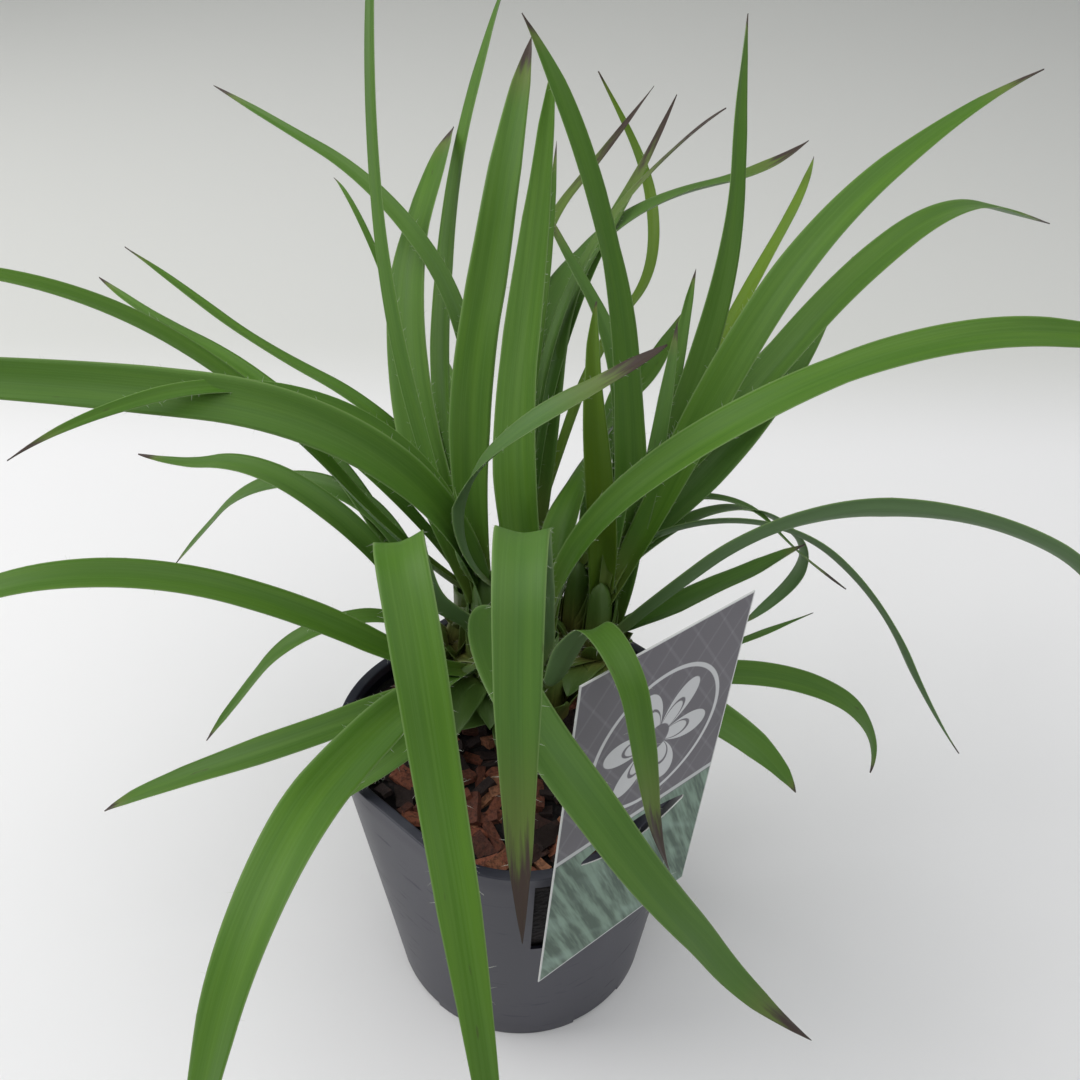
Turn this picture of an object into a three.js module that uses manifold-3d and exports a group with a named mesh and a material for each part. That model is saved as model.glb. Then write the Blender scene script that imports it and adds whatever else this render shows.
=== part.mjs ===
// A greater woodrush in a square-round nursery pot, mulched with bark and hung with a plant label.
// Millimetres, +Z up, the origin at the middle of the pot's foot, the viewer on the -Y side.
import * as THREE from "three";
import { mergeVertices } from "three/addons/utils/BufferGeometryUtils.js";
import Module from "manifold-3d";

const wasm = await Module();
wasm.setup();

// Pot: a round foot that grows into a square rim with large corner arcs.
const POT_HEIGHT = 145;
const RIM_HALF_WIDTH = 70;
const RIM_CORNER_RADIUS = 54;
const RIM_TURN = 48;
const FOOT_RADIUS = 59;
const POT_WALL = 1.4;
const LIP_WIDTH = 4.4;
const LIP_HEIGHT = 4;
const POT_FLOOR = 4.4;
const POT_EDGE = 0.7;
const POT_FACETS = 64;
const GROOVE_COUNT = 4;
const GROOVE_TURN = 38;
const GROOVE_SPAN = 26;
const GROOVE_HEIGHT = 2.8;
const FOOT_DISC_RADIUS = 20;
const DRAIN_RADIUS = 4;
const DRAIN_AT = [31, 46];
const DRAIN_FACETS = 16;
const ARC_FACETS = 12;
const SLOT_HEADING = -75;
const SLOT_WIDTH = 26;
const SLOT_BOTTOM = 88;
const SLOT_TOP = 139;
const CUT_MARGIN = 1;

// Root ball and bark.
const FIT_GAP = 0.4;
const SOIL_INSET = 1.2;
const SOIL_TOP = 131.5;
const STEM_HOLE_DEPTH = 16;
const MAT_HEIGHT = 3;
const BARK_GAP = 0.6;
const CHIP_RING_STEP = 15;
const CHIP_SPACING = 19;
const CHIP_RINGS = 5;
const CHIP_LENGTH = [14, 22];
const CHIP_WIDTH = [9, 14];
const CHIP_THICKNESS = [2.6, 4.2];
const CHIP_TILT = 17;
const CHIP_JITTER = 0.16;
const CHIP_RING_START = 0.45;
const CHIP_SCATTER = 0.7;
const CHIP_LIFT = 1.6;
const CHIP_SEED = 4711;

// Shoots: a short stem of rolled sheaths that carries arching blades.
const STEM_RADIUS = 7.5;
const STEM_TIP_RADIUS = 4;
const STEM_SHOULDERS = [0.3, 0.75];
const STEM_FACETS = 12;
const SOIL_LEVEL = 137;
const STEM_MARGIN = 5;
const ROOT_OFFSET = 3;
const PATH_STEPS = 8;
const BLADE_STEP = 28;
const BLADE_THICKNESS = 0.8;
const SHEATH_THICKNESS = 1.8;
const SHEATH_SPAN = 0.1;
const TIP_WIDTH = 1.2;
const WIDTH_KNOTS = [[0, 0.62], [0.12, 0.8], [0.3, 1], [0.55, 0.97], [0.75, 0.78], [0.9, 0.45], [1, 0.05]];
const GUTTER_KNOTS = [[0, 42], [0.15, 30], [0.4, 14], [0.8, 14], [1, 24]];

// Label: a thin card that leans like the pot's wall, hung over the rim by a tongue.
const LABEL_WIDTH = 80;
const LABEL_HEIGHT = 156;
const LABEL_THICKNESS = 0.8;
const LABEL_HEADING = -49.5;
const LABEL_REACH = 72.7;
const LABEL_LEAN = 1;
const LABEL_ROLL = 4.5;
const LABEL_CENTRE = [-4.4, 170];
const OPENING_CENTRE = [0, -17];
const OPENING_HALF = 25;
const OPENING_RISE = 4;
const OPENING_DIP = 6;
const OPENING_END = 1.5;
const TONGUE_HALF = 15;
const TONGUE_TAPER = 0.35;
const TONGUE_PATH = [[0, 8], [-3, 5], [-7, 1], [-10.2, -5], [-10.8, -13]];

// Each shoot: name, place on the soil, and its blades. A blade is its height up the stem, then headings,
// rises and rolls in degrees at even steps from root to tip, length and width.
const SHOOTS = [
  ["shoot_front", [9, 6], [
    [30, [260, 275], [80, 60, 60, 60, -50, -60, -60], [0], 270, 17],
    [20, [210, 260, 310, 360, 350], [90, 50, 0, -50, -60, -40], [0, 0, -60], 310, 17],
    [30, [280, 280, 290, 310, 360], [30, 60, 60, 50, -70, -80, -70], [0, 0, -30], 215, 11],
    [50, [0, 20], [90, 45, 20, -10, -20], [-20, 0, -40], 320, 18],
    [48, [120, 80, 70], [70, 50, 60, 80], [30], 220, 20],
    [50, [80, 50], [60, 20, 10, 50], [0, 60, 0], 170, 20],
  ]],
  ["shoot_front_left", [-16, 28], [
    [12, [210, 190, 180, 160], [100, 60, 10, 0, 0], [40], 380, 18],
    [10, [250, 190, 190, 195, 200], [40, 45, 30, 0, -40, -70], [20, 0], 320, 14],
    [10, [220, 170], [10, -5, -20, -40], [0], 180, 16],
    [12, [250, 255, 245], [40, 30, 20, -50, -70], [-10, 0, -40], 300, 20],
    [4, [260, 230, 200], [40, 10, -10, -40], [0], 100, 13],
    [24, [240, 260, 285, 285, 285], [70, 50, 50, 60, 60, -30, -50, -40, -50, -60, -70], [-10], 350, 16],
    [50, [110, 70, 80], [60, 60, 60, 30], [0], 230, 18],
    [50, [135, 105, 80, 85], [60, 40, 40, 20, 0], [30], 250, 20],
    [30, [70, 85], [60, 50, 50], [0], 210, 7],
    [60, [80, -20, 0, 30], [130, 90, 50, 30, 20], [0], 150, 16],
    [44, [140, 180, 220, 260], [90, 60, 30, 10, 10], [20], 240, 8],
    [34, [135, 100, 80], [70, 50, 50, 50], [50], 350, 8],
  ]],
  ["shoot_left", [-38, 36], [
    [26, [160, 155], [60, 50, 20, -20, 0], [0], 170, 14],
    [18, [110, 150, 160, 160], [70, 30, -20, -50, -50], [20], 220, 10],
    [8, [190, 200], [90, 0, -50, -50], [0], 140, 10],
    [20, [130], [60, 20, -40], [0], 160, 10],
  ]],
  ["shoot_right", [33, 38], [
    [14, [-30, 0, 0, 10], [60, 50, 0, -30, -80], [30, 70, 30], 290, 14],
    [20, [0, -20], [30, 40, 40, 50], [0], 100, 15],
    [8, [-20, 15, 30], [0, 15, 10, 0], [0], 100, 4],
    [6, [-40, 10, 10, -10], [30, -10, -40, -90], [-40], 180, 11],
    [4, [-50, -20], [30, 10, -20, -60], [-30], 110, 15],
    [40, [30, 40, 30, 20], [60, 60, 50, 30, 20], [-20, 0], 280, 17],
    [46, [50, 60, 85, 80], [50, 50, 40, 20], [-30, -60], 280, 13],
    [48, [60, 90, 120, 100], [80, 50, 30, 0], [-20], 190, 10],
    [40, [40, 75, 75], [60, 50, 50, 30], [0], 150, 8],
    [32, [30, 70, 80], [60, 70, 60, 40], [0], 130, 8],
    [16, [80, 40], [80, 100, 100, 90], [0], 170, 14],
    [14, [40, 110, 150, 140], [70, 80, 80, 70, 50], [-30, 10], 260, 18],
  ]],
  ["shoot_back_right", [24, 54], [
    [32, [10, 0, -20, -20], [60, 10, -40, -60, -50], [40], 250, 11],
    [20, [20, 35, 30, 0, 60], [50, 30, 0, -30, -50, -130, -210], [20], 210, 12],
    [14, [70, 20, 10, 10], [80, 10, -50, -40], [0], 200, 6],
    [46, [30, 40], [30, 40, 40, 20, -20, -20], [0], 330, 18],
    [44, [30, 50, 70], [40, 30, 0, 0], [10], 250, 13],
    [46, [40, 60, 75], [40, 40, 10, 0], [20], 280, 8],
    [40, [10, 40, 60, 50], [40, 30, 20, 0], [-50, 50], 230, 17],
    [26, [80, 70], [60, 10, -50], [0], 190, 11],
  ]],
  ["shoot_back", [2, 60], [
    [54, [80, 85, 55, 30, 40], [70, 50, 20, 10, 0, 20], [-40, 30, 0], 290, 21],
    [46, [90, 60, 60], [80, 40, 10, 0], [30], 290, 7],
    [38, [110, 85, 65, 60], [80, 40, 10, 20], [0], 290, 6],
    [42, [80, 70, 70], [90, 30, 10, 20], [0], 290, 7],
    [48, [70, 70, 60, 100, 170], [40, 30, 10, 40, 60], [30], 280, 8],
    [34, [90], [70, 20, -50], [0], 200, 12],
  ]],
  ["shoot_back_left", [-23, 56], [
    [32, [210, 180, 200, 200], [50, 60, 40, 10, -20], [0], 340, 12],
    [34, [165, 145, 130], [60, 30, 0, 0], [0], 260, 9],
    [34, [130, 150, 150, 140], [95, 40, 10, 20, 10], [0, -20], 240, 9],
    [50, [110, 90, 80, 80], [50, 40, 30, 20], [50], 320, 15],
    [36, [50, 100, 130, 140, 140], [90, 60, 30, 10, 10], [20], 300, 8],
    [32, [120, 110], [80, 50, 20, -10], [0], 240, 4],
    [24, [100], [70, 10, -50], [0], 190, 11],
  ]],
];

// Colours and surfaces.
const LOOKS = {
  pot: { color: 0x4d535a, roughness: 0.45, metalness: 0 },
  soil: { color: 0x2a1d15, roughness: 0.95, metalness: 0 },
  bark: { color: 0x6b4230, roughness: 0.9, metalness: 0 },
  leaf: { color: 0x4d7d2b, roughness: 0.5, metalness: 0 },
  label: { color: 0x9aa3a8, roughness: 0.4, metalness: 0 },
};

const radians = THREE.MathUtils.degToRad;

// Small helpers.

function seededRandom(seed) {
  let state = seed;
  return () => {
    state = (state * 1664525 + 1013904223) % 4294967296;
    return state / 4294967296;
  };
}

// The value at t of a list of [place, value] knots.
function atKnots(knots, t) {
  const next = knots.findIndex(([place]) => place >= t);
  if (next <= 0) return knots[0][1];
  const [[from, low], [to, high]] = [knots[next - 1], knots[next]];
  return THREE.MathUtils.mapLinear(t, from, to, low, high);
}

// The value at t of numbers spread evenly from 0 to 1.
function atEven(values, t) {
  if (values.length === 1) return values[0];
  const place = t * (values.length - 1);
  const low = Math.min(Math.floor(place), values.length - 2);
  return THREE.MathUtils.lerp(values[low], values[low + 1], place - low);
}

// A closed geometry as a solid that can be joined and cut.
function solidOf(geometry) {
  geometry.deleteAttribute("normal");
  geometry.deleteAttribute("uv");
  const merged = mergeVertices(geometry);
  const vertProperties = merged.getAttribute("position").array;
  const triVerts = Uint32Array.from(merged.index.array);
  return new wasm.Manifold(new wasm.Mesh({ numProp: 3, vertProperties, triVerts }));
}

function joined(solids) {
  return solids.reduce((whole, solid) => whole.add(solid));
}

// The largest body of a solid, without loose crumbs and closed hollows.
function mainBody(solid) {
  return solid.decompose().reduce((best, body) => (body.volume() > best.volume() ? body : best));
}

// A solid through closed rings of points that turn anticlockwise about their path, with fans at both ends.
// From the corner flipFrom on, the quads are cut along their other diagonal.
function skinned(rings, flipFrom = Infinity) {
  const count = rings[0].length;
  const points = rings.flat();
  const triangles = [];
  for (let i = 0; i + 1 < rings.length; i++)
    for (let j = 0; j < count; j++) {
      const [a, b] = [i * count + j, i * count + ((j + 1) % count)];
      const [c, d] = [b + count, a + count];
      if (j < flipFrom) triangles.push([a, b, c], [a, c, d]);
      else triangles.push([a, b, d], [b, c, d]);
    }
  for (const [ring, first, turned] of [[rings[0], 0, true], [rings.at(-1), points.length - count, false]]) {
    const middle = points.length;
    points.push(ring.reduce((sum, p) => sum.add(p), new THREE.Vector3()).divideScalar(count));
    for (let j = 0; j < count; j++) {
      const pair = [first + j, first + ((j + 1) % count)];
      triangles.push(turned ? [middle, pair[1], pair[0]] : [middle, pair[0], pair[1]]);
    }
  }
  const geometry = new THREE.BufferGeometry().setFromPoints(points);
  geometry.setIndex(triangles.flat());
  return solidOf(geometry);
}

// A prism over a flat shape, from one height to another.
function prism(shape, bottom, top) {
  const options = { depth: top - bottom, bevelEnabled: false, curveSegments: ARC_FACETS };
  return solidOf(new THREE.ExtrudeGeometry(shape, options).translate(0, 0, bottom));
}

// An upright round bar at a place.
function bar([x, y], radius, facets, bottom, top) {
  const geometry = new THREE.CylinderGeometry(radius, radius, top - bottom, facets);
  return solidOf(geometry.rotateX(Math.PI / 2).translate(x, y, (bottom + top) / 2));
}

// Pot.

// Distance from the middle to the rim's outline in a direction.
function rimRadius(turn) {
  const quarter = Math.PI / 2;
  const flat = RIM_HALF_WIDTH - RIM_CORNER_RADIUS;
  const off = turn - radians(RIM_TURN);
  const local = off - quarter * Math.round(off / quarter);
  if (RIM_HALF_WIDTH * Math.abs(Math.tan(local)) <= flat) return RIM_HALF_WIDTH / Math.cos(local);
  const reach = flat * (Math.cos(local) + Math.abs(Math.sin(local)));
  return reach + Math.sqrt(reach ** 2 - 2 * flat ** 2 + RIM_CORNER_RADIUS ** 2);
}

// A ring round the pot at a height, a distance inside its outer face.
function potRing(z, inset) {
  return Array.from({ length: POT_FACETS }, (_, i) => {
    const turn = (2 * Math.PI * i) / POT_FACETS;
    const radius = THREE.MathUtils.lerp(FOOT_RADIUS, rimRadius(turn), z / POT_HEIGHT) - inset;
    return new THREE.Vector3(radius * Math.cos(turn), radius * Math.sin(turn), z);
  });
}

function potRings(profile) {
  return profile.map(([z, inset]) => potRing(z, inset));
}

// A sector of the foot between two radii, for a groove.
function footSector(heading) {
  const [start, end] = [-0.5, 0.5].map((side) => radians(heading + side * GROOVE_SPAN));
  const shape = new THREE.Shape();
  shape.absarc(0, 0, RIM_HALF_WIDTH, start, end, false);
  shape.absarc(0, 0, FOOT_DISC_RADIUS, end, start, true);
  return shape;
}

// The slot behind the label, as a box that crosses the wall.
function wallSlot() {
  const geometry = new THREE.BoxGeometry(FOOT_RADIUS, SLOT_WIDTH, SLOT_TOP - SLOT_BOTTOM);
  geometry.translate(FOOT_RADIUS, 0, (SLOT_TOP + SLOT_BOTTOM) / 2);
  return solidOf(geometry.rotateZ(radians(SLOT_HEADING)));
}

function pot() {
  const lipBottom = POT_HEIGHT - LIP_HEIGHT;
  let solid = skinned(potRings([
    [0, POT_EDGE],
    [POT_EDGE, 0],
    [POT_HEIGHT - POT_EDGE, 0],
    [POT_HEIGHT, POT_EDGE],
    [POT_HEIGHT, LIP_WIDTH - POT_EDGE],
    [POT_HEIGHT - POT_EDGE, LIP_WIDTH],
    [lipBottom, LIP_WIDTH],
    [lipBottom - POT_EDGE, POT_WALL],
    [POT_FLOOR + POT_EDGE, POT_WALL],
    [POT_FLOOR, POT_WALL + POT_EDGE],
  ]));
  for (let i = 0; i < GROOVE_COUNT; i++) {
    const heading = GROOVE_TURN + (360 * i) / GROOVE_COUNT;
    solid = solid.subtract(prism(footSector(heading), -CUT_MARGIN, GROOVE_HEIGHT));
    for (const reach of DRAIN_AT) {
      const place = [reach * Math.cos(radians(heading)), reach * Math.sin(radians(heading))];
      solid = solid.subtract(bar(place, DRAIN_RADIUS, DRAIN_FACETS, -CUT_MARGIN, POT_FLOOR + CUT_MARGIN));
    }
  }
  return solid.subtract(wallSlot());
}

// Root ball and bark.

function stemCores(bottom, top, clearance) {
  return joined(SHOOTS.map(([, place]) => bar(place, STEM_RADIUS + clearance, STEM_FACETS, bottom, top)));
}

function soil() {
  const inset = POT_WALL + SOIL_INSET;
  const ball = skinned(potRings([
    [POT_FLOOR + FIT_GAP, inset + 2 * POT_EDGE],
    [POT_FLOOR + FIT_GAP + POT_EDGE, inset],
    [SOIL_TOP, inset],
  ]));
  return ball.subtract(stemCores(SOIL_TOP - STEM_HOLE_DEPTH, SOIL_TOP + CUT_MARGIN, FIT_GAP));
}

// One splinter of bark: a box whose corners are shifted at random, turned and tilted.
function chip(random, place) {
  const between = ([low, high]) => THREE.MathUtils.lerp(low, high, random());
  const size = [CHIP_LENGTH, CHIP_WIDTH, CHIP_THICKNESS].map(between);
  const box = new THREE.BoxGeometry(...size);
  box.deleteAttribute("normal");
  box.deleteAttribute("uv");
  const geometry = mergeVertices(box);
  const corners = geometry.getAttribute("position");
  const shift = (axis) => CHIP_JITTER * size[axis] * (2 * random() - 1);
  for (let i = 0; i < corners.count; i++)
    corners.setXYZ(i, corners.getX(i) + shift(0), corners.getY(i) + shift(1), corners.getZ(i) + shift(2));
  const tilt = () => radians(CHIP_TILT) * (2 * random() - 1);
  geometry.rotateX(tilt()).rotateY(tilt()).rotateZ(2 * Math.PI * random());
  return solidOf(geometry.translate(...place));
}

function barkMulch() {
  const random = seededRandom(CHIP_SEED);
  const bottom = SOIL_TOP + FIT_GAP;
  const top = bottom + MAT_HEIGHT;
  const inset = POT_WALL + BARK_GAP;
  const pieces = [skinned(potRings([[bottom, inset], [top, inset]]))];
  for (let ring = 0; ring < CHIP_RINGS; ring++) {
    const radius = CHIP_RING_STEP * (ring + CHIP_RING_START);
    const count = Math.round((2 * Math.PI * radius) / CHIP_SPACING);
    for (let i = 0; i < count; i++) {
      const turn = (2 * Math.PI * (i + CHIP_SCATTER * random())) / count;
      const reach = radius * (rimRadius(turn) / RIM_HALF_WIDTH);
      pieces.push(chip(random, [reach * Math.cos(turn), reach * Math.sin(turn), top + CHIP_LIFT * random()]));
    }
  }
  const lipBottom = POT_HEIGHT - LIP_HEIGHT - POT_EDGE - BARK_GAP;
  const lipInset = LIP_WIDTH + BARK_GAP;
  const room = skinned(potRings([
    [bottom, inset],
    [lipBottom, inset],
    [lipBottom + POT_EDGE / 2, lipInset],
    [POT_HEIGHT, lipInset],
  ]));
  const cores = stemCores(bottom - CUT_MARGIN, POT_HEIGHT, BARK_GAP);
  return mainBody(joined(pieces).intersect(room).subtract(cores));
}

// Shoots.

// Frames along a blade's middle line, from the foot of its shoot: place, share of the length, right-hand
// side and upper face.
function bladeFrames([height, headings, rises, rolls, length], count) {
  const start = radians(headings[0]);
  const at = new THREE.Vector3(ROOT_OFFSET * Math.cos(start), ROOT_OFFSET * Math.sin(start), height);
  const facing = (share) => {
    const heading = radians(atEven(headings, share));
    const rise = radians(atEven(rises, share));
    const level = new THREE.Vector3(Math.cos(heading), Math.sin(heading), 0);
    const ahead = level.multiplyScalar(Math.cos(rise)).setZ(Math.sin(rise));
    const side = new THREE.Vector3(Math.sin(heading), -Math.cos(heading), 0);
    side.applyAxisAngle(ahead, -radians(atEven(rolls, share)));
    return { ahead, side, up: side.clone().cross(ahead) };
  };
  const frames = [];
  for (let i = 0; i <= count; i++) {
    const { side, up } = facing(i / count);
    frames.push({ at: at.clone(), share: i / count, side, up });
    for (let k = 0; k < PATH_STEPS; k++)
      at.addScaledVector(facing((i + (k + 0.5) / PATH_STEPS) / count).ahead, length / (count * PATH_STEPS));
  }
  return frames;
}

// A blade with a shallow gutter along its middle, from a thick sheath to a blunt tip.
function blade(leaf) {
  const [, , , , length, width] = leaf;
  const count = Math.round(length / BLADE_STEP);
  const rings = bladeFrames(leaf, count).map(({ at, share, side, up }) => {
    const half = Math.max(width * atKnots(WIDTH_KNOTS, share), TIP_WIDTH) / 2;
    const gutter = radians(atKnots(GUTTER_KNOTS, share));
    const thick = atKnots([[0, SHEATH_THICKNESS], [SHEATH_SPAN, BLADE_THICKNESS], [1, BLADE_THICKNESS]], share);
    const corner = (across, level) =>
      at.clone()
        .addScaledVector(side, across * half * Math.cos(gutter))
        .addScaledVector(up, Math.abs(across) * half * Math.sin(gutter) + (level * thick) / 2);
    return [corner(-1, 1), corner(0, 1), corner(1, 1), corner(1, -1), corner(0, -1), corner(-1, -1)];
  });
  return skinned(rings, 3);
}

// The rolled sheaths at the heart of a shoot, from inside its hole in the soil to above its highest blade.
function stem(blades) {
  const highest = Math.max(...blades.map(([height]) => height)) + STEM_MARGIN;
  const bottom = SOIL_TOP - STEM_HOLE_DEPTH + FIT_GAP - SOIL_LEVEL;
  const profile = [
    [0, bottom],
    [STEM_RADIUS, bottom],
    [STEM_RADIUS, STEM_SHOULDERS[0] * highest],
    [(STEM_RADIUS + STEM_TIP_RADIUS) / 2, STEM_SHOULDERS[1] * highest],
    [STEM_TIP_RADIUS, highest],
    [0, highest],
  ];
  const geometry = new THREE.LatheGeometry(profile.map(([x, y]) => new THREE.Vector2(x, y)), STEM_FACETS);
  return solidOf(geometry.rotateX(Math.PI / 2));
}

function shoot(blades) {
  return mainBody(joined([stem(blades), ...blades.map(blade)]));
}

// Label.

// The card's own frame: across and up in the plane of the card, out from the pot.
function labelFrame() {
  const heading = radians(LABEL_HEADING);
  const lean = radians(LABEL_LEAN);
  const roll = radians(LABEL_ROLL);
  const level = new THREE.Vector3(-Math.sin(heading), Math.cos(heading), 0);
  const away = new THREE.Vector3(Math.cos(heading), Math.sin(heading), 0);
  const steep = new THREE.Vector3(0, 0, Math.cos(lean)).addScaledVector(away, Math.sin(lean));
  const across = level.clone().multiplyScalar(Math.cos(roll)).addScaledVector(steep, -Math.sin(roll));
  const up = steep.clone().multiplyScalar(Math.cos(roll)).addScaledVector(level, Math.sin(roll));
  const rise = LABEL_CENTRE[1] - POT_HEIGHT;
  const centre = away.clone().multiplyScalar(LABEL_REACH).addScaledVector(level, LABEL_CENTRE[0])
    .addScaledVector(steep, rise / Math.cos(lean)).add(new THREE.Vector3(0, 0, POT_HEIGHT));
  return new THREE.Matrix4().makeBasis(across, up, across.clone().cross(up)).setPosition(centre);
}

// The card's outline with its crescent opening, whose lower edge sags and whose upper edge is pushed up.
function cardShape() {
  const [w, h] = [LABEL_WIDTH / 2, LABEL_HEIGHT / 2];
  const [x, y] = OPENING_CENTRE;
  const quarter = Math.PI / 2;
  const opening = new THREE.Path();
  opening.moveTo(x - OPENING_HALF, y - OPENING_END);
  opening.quadraticCurveTo(x, y - OPENING_END - 2 * OPENING_DIP, x + OPENING_HALF, y - OPENING_END);
  opening.absarc(x + OPENING_HALF, y, OPENING_END, -quarter, quarter, false);
  opening.quadraticCurveTo(x, y + OPENING_END + 2 * OPENING_RISE, x - OPENING_HALF, y + OPENING_END);
  opening.absarc(x - OPENING_HALF, y, OPENING_END, quarter, 3 * quarter, false);
  const shape = new THREE.Shape([[-w, -h], [w, -h], [w, h], [-w, h]].map(([a, b]) => new THREE.Vector2(a, b)));
  shape.holes.push(opening);
  return shape;
}

// The flap cut out of the opening, bent back over the rim and down inside the pot.
function tongue() {
  const half = LABEL_THICKNESS / 2;
  const rings = TONGUE_PATH.map(([depth, height], i) => {
    const before = TONGUE_PATH[Math.max(i - 1, 0)];
    const after = TONGUE_PATH[Math.min(i + 1, TONGUE_PATH.length - 1)];
    const along = new THREE.Vector2(after[0] - before[0], after[1] - before[1]).normalize();
    const reach = TONGUE_HALF * (1 - TONGUE_TAPER * (i / (TONGUE_PATH.length - 1)) ** 2);
    const corner = (side, face) =>
      new THREE.Vector3(
        OPENING_CENTRE[0] + side * reach,
        OPENING_CENTRE[1] + height - face * half * along.x,
        depth + face * half * along.y,
      );
    return [corner(-1, 1), corner(1, 1), corner(1, -1), corner(-1, -1)];
  });
  return skinned(rings);
}

function label() {
  return prism(cardShape(), -LABEL_THICKNESS / 2, LABEL_THICKNESS / 2).add(tongue());
}

// The model.

function meshOf(name, solid, look) {
  const made = solid.getMesh();
  const geometry = new THREE.BufferGeometry();
  geometry.setAttribute("position", new THREE.BufferAttribute(made.vertProperties, 3));
  geometry.setIndex(new THREE.BufferAttribute(made.triVerts, 1));
  geometry.computeVertexNormals();
  const mesh = new THREE.Mesh(geometry, new THREE.MeshStandardMaterial({ ...look, flatShading: true }));
  mesh.name = name;
  return mesh;
}

const plant = new THREE.Group();
plant.add(meshOf("pot", pot(), LOOKS.pot));
plant.add(meshOf("soil", soil(), LOOKS.soil));
plant.add(meshOf("bark_mulch", barkMulch(), LOOKS.bark));

const shoots = new THREE.Group();
shoots.position.z = SOIL_LEVEL;
for (const [name, [x, y], blades] of SHOOTS) {
  const mesh = meshOf(name, shoot(blades), LOOKS.leaf);
  mesh.position.set(x, y, 0);
  shoots.add(mesh);
}
plant.add(shoots);

const hungLabel = meshOf("label", label(), LOOKS.label);
hungLabel.applyMatrix4(labelFrame());
plant.add(hungLabel);

export default plant;
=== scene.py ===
import math

import bmesh
import bpy
import numpy as np
from mathutils import Matrix, Vector


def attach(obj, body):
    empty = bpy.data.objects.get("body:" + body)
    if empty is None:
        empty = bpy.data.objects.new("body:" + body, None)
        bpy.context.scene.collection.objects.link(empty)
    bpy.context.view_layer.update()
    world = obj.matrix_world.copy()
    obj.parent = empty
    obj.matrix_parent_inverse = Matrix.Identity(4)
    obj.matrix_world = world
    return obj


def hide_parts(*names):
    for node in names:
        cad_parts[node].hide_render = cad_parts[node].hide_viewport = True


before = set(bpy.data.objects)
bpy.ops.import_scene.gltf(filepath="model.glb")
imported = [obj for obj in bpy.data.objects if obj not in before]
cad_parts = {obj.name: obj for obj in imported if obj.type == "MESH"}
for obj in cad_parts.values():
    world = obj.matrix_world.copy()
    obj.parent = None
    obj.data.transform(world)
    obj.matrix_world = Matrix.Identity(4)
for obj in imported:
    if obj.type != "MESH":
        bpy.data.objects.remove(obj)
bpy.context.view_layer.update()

MM = 0.001
FULL_TURN = 6.283

# Camera of the photograph
CAMERA_PLACE = (7 * MM, -307 * MM, 485 * MM)
CAMERA_PITCH = 38.4
CAMERA_ROLL = 0.7
CAMERA_LENS = 36.1
CAMERA_SENSOR = 36
CAMERA_CLIP = (0.01, 50)

# Stage, in metres: a floor that turns up into a backdrop, two lamps and a dim sky. A lamp is its name, place,
# aim, width, power and colour.
FLOOR_HALF_WIDTH = 6.0
FLOOR_FRONT = -3.0
FLOOR_BACK = 2.2
BEND_RADIUS = 0.25
BACKDROP_TOP = 4.0
LAMPS = (
    ("window", (-1.5, 0.3, 1.6), (0, 0, 0.15), 1.6, 27, (1.0, 0.99, 0.98)),
    ("ceiling", (0.5, -0.4, 2.2), (0.1, 0, 0), 2.6, 28, (1.0, 1.0, 1.0)),
)
SKY_COLOUR = (0.95, 0.97, 1.0, 1)
SKY_STRENGTH = 0.36

# Pot: a round foot that grows into a square rim with large corner arcs
POT_HEIGHT = 145 * MM
RIM_HALF_WIDTH = 70 * MM
RIM_CORNER_RADIUS = 54 * MM
RIM_TURN = 48
FOOT_RADIUS = 59 * MM
POT_WALL = 1.4 * MM
LIP_WIDTH = 4.4 * MM
LIP_HEIGHT = 4 * MM
POT_FLOOR = 4.4 * MM
POT_EDGE = 0.7 * MM
POT_FACETS = 288
POT_CREASE = 35
WALL_FROM = 10 * MM
WALL_SHORT_OF_RIM = 12 * MM
WALL_RINGS = 9
INNER_RINGS = 6
CUT_MARGIN = 1 * MM
GROOVE_COUNT = 4
GROOVE_TURN = 38
GROOVE_SPAN = 26
GROOVE_HEIGHT = 2.8 * MM
GROOVE_REACH = 80 * MM
GROOVE_STEPS = (16, 8)
FOOT_DISC_RADIUS = 20 * MM
DRAIN_RADIUS = 4 * MM
DRAIN_FACETS = 32
DRAIN_AT = (31 * MM, 46 * MM)
SLOT_HEADING = -75
SLOT_WIDTH = 26 * MM
SLOT_BOTTOM = 88 * MM
SLOT_TOP = 139 * MM
SLOT_REACHES = (50 * MM, 90 * MM)

# Bark mulch
MULCH_BASE = 132 * MM
MULCH_TOP = 134.6 * MM
MULCH_GAP = 0.9 * MM
MULCH_FACETS = 96
CHIP_MARGIN = 8 * MM
CHIP_SPACING = 4.6 * MM
CHIP_SIZE = (9 * MM, 5.6 * MM, 2.6 * MM)
CHIP_CUTS = {"Vertices X": 5, "Vertices Y": 4, "Vertices Z": 3}
CHIP_STRETCHES = ((0.55, 0.5, 0.6), (1.7, 1.5, 1.5))
CHIP_LIFTS = (-1 * MM, 3 * MM)
CHIP_TILT = 0.42
CHIP_ROUGHNESS = 1.5 * MM
CHIP_DENSITY = 90000.0
CHIP_SEED = 9

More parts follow.
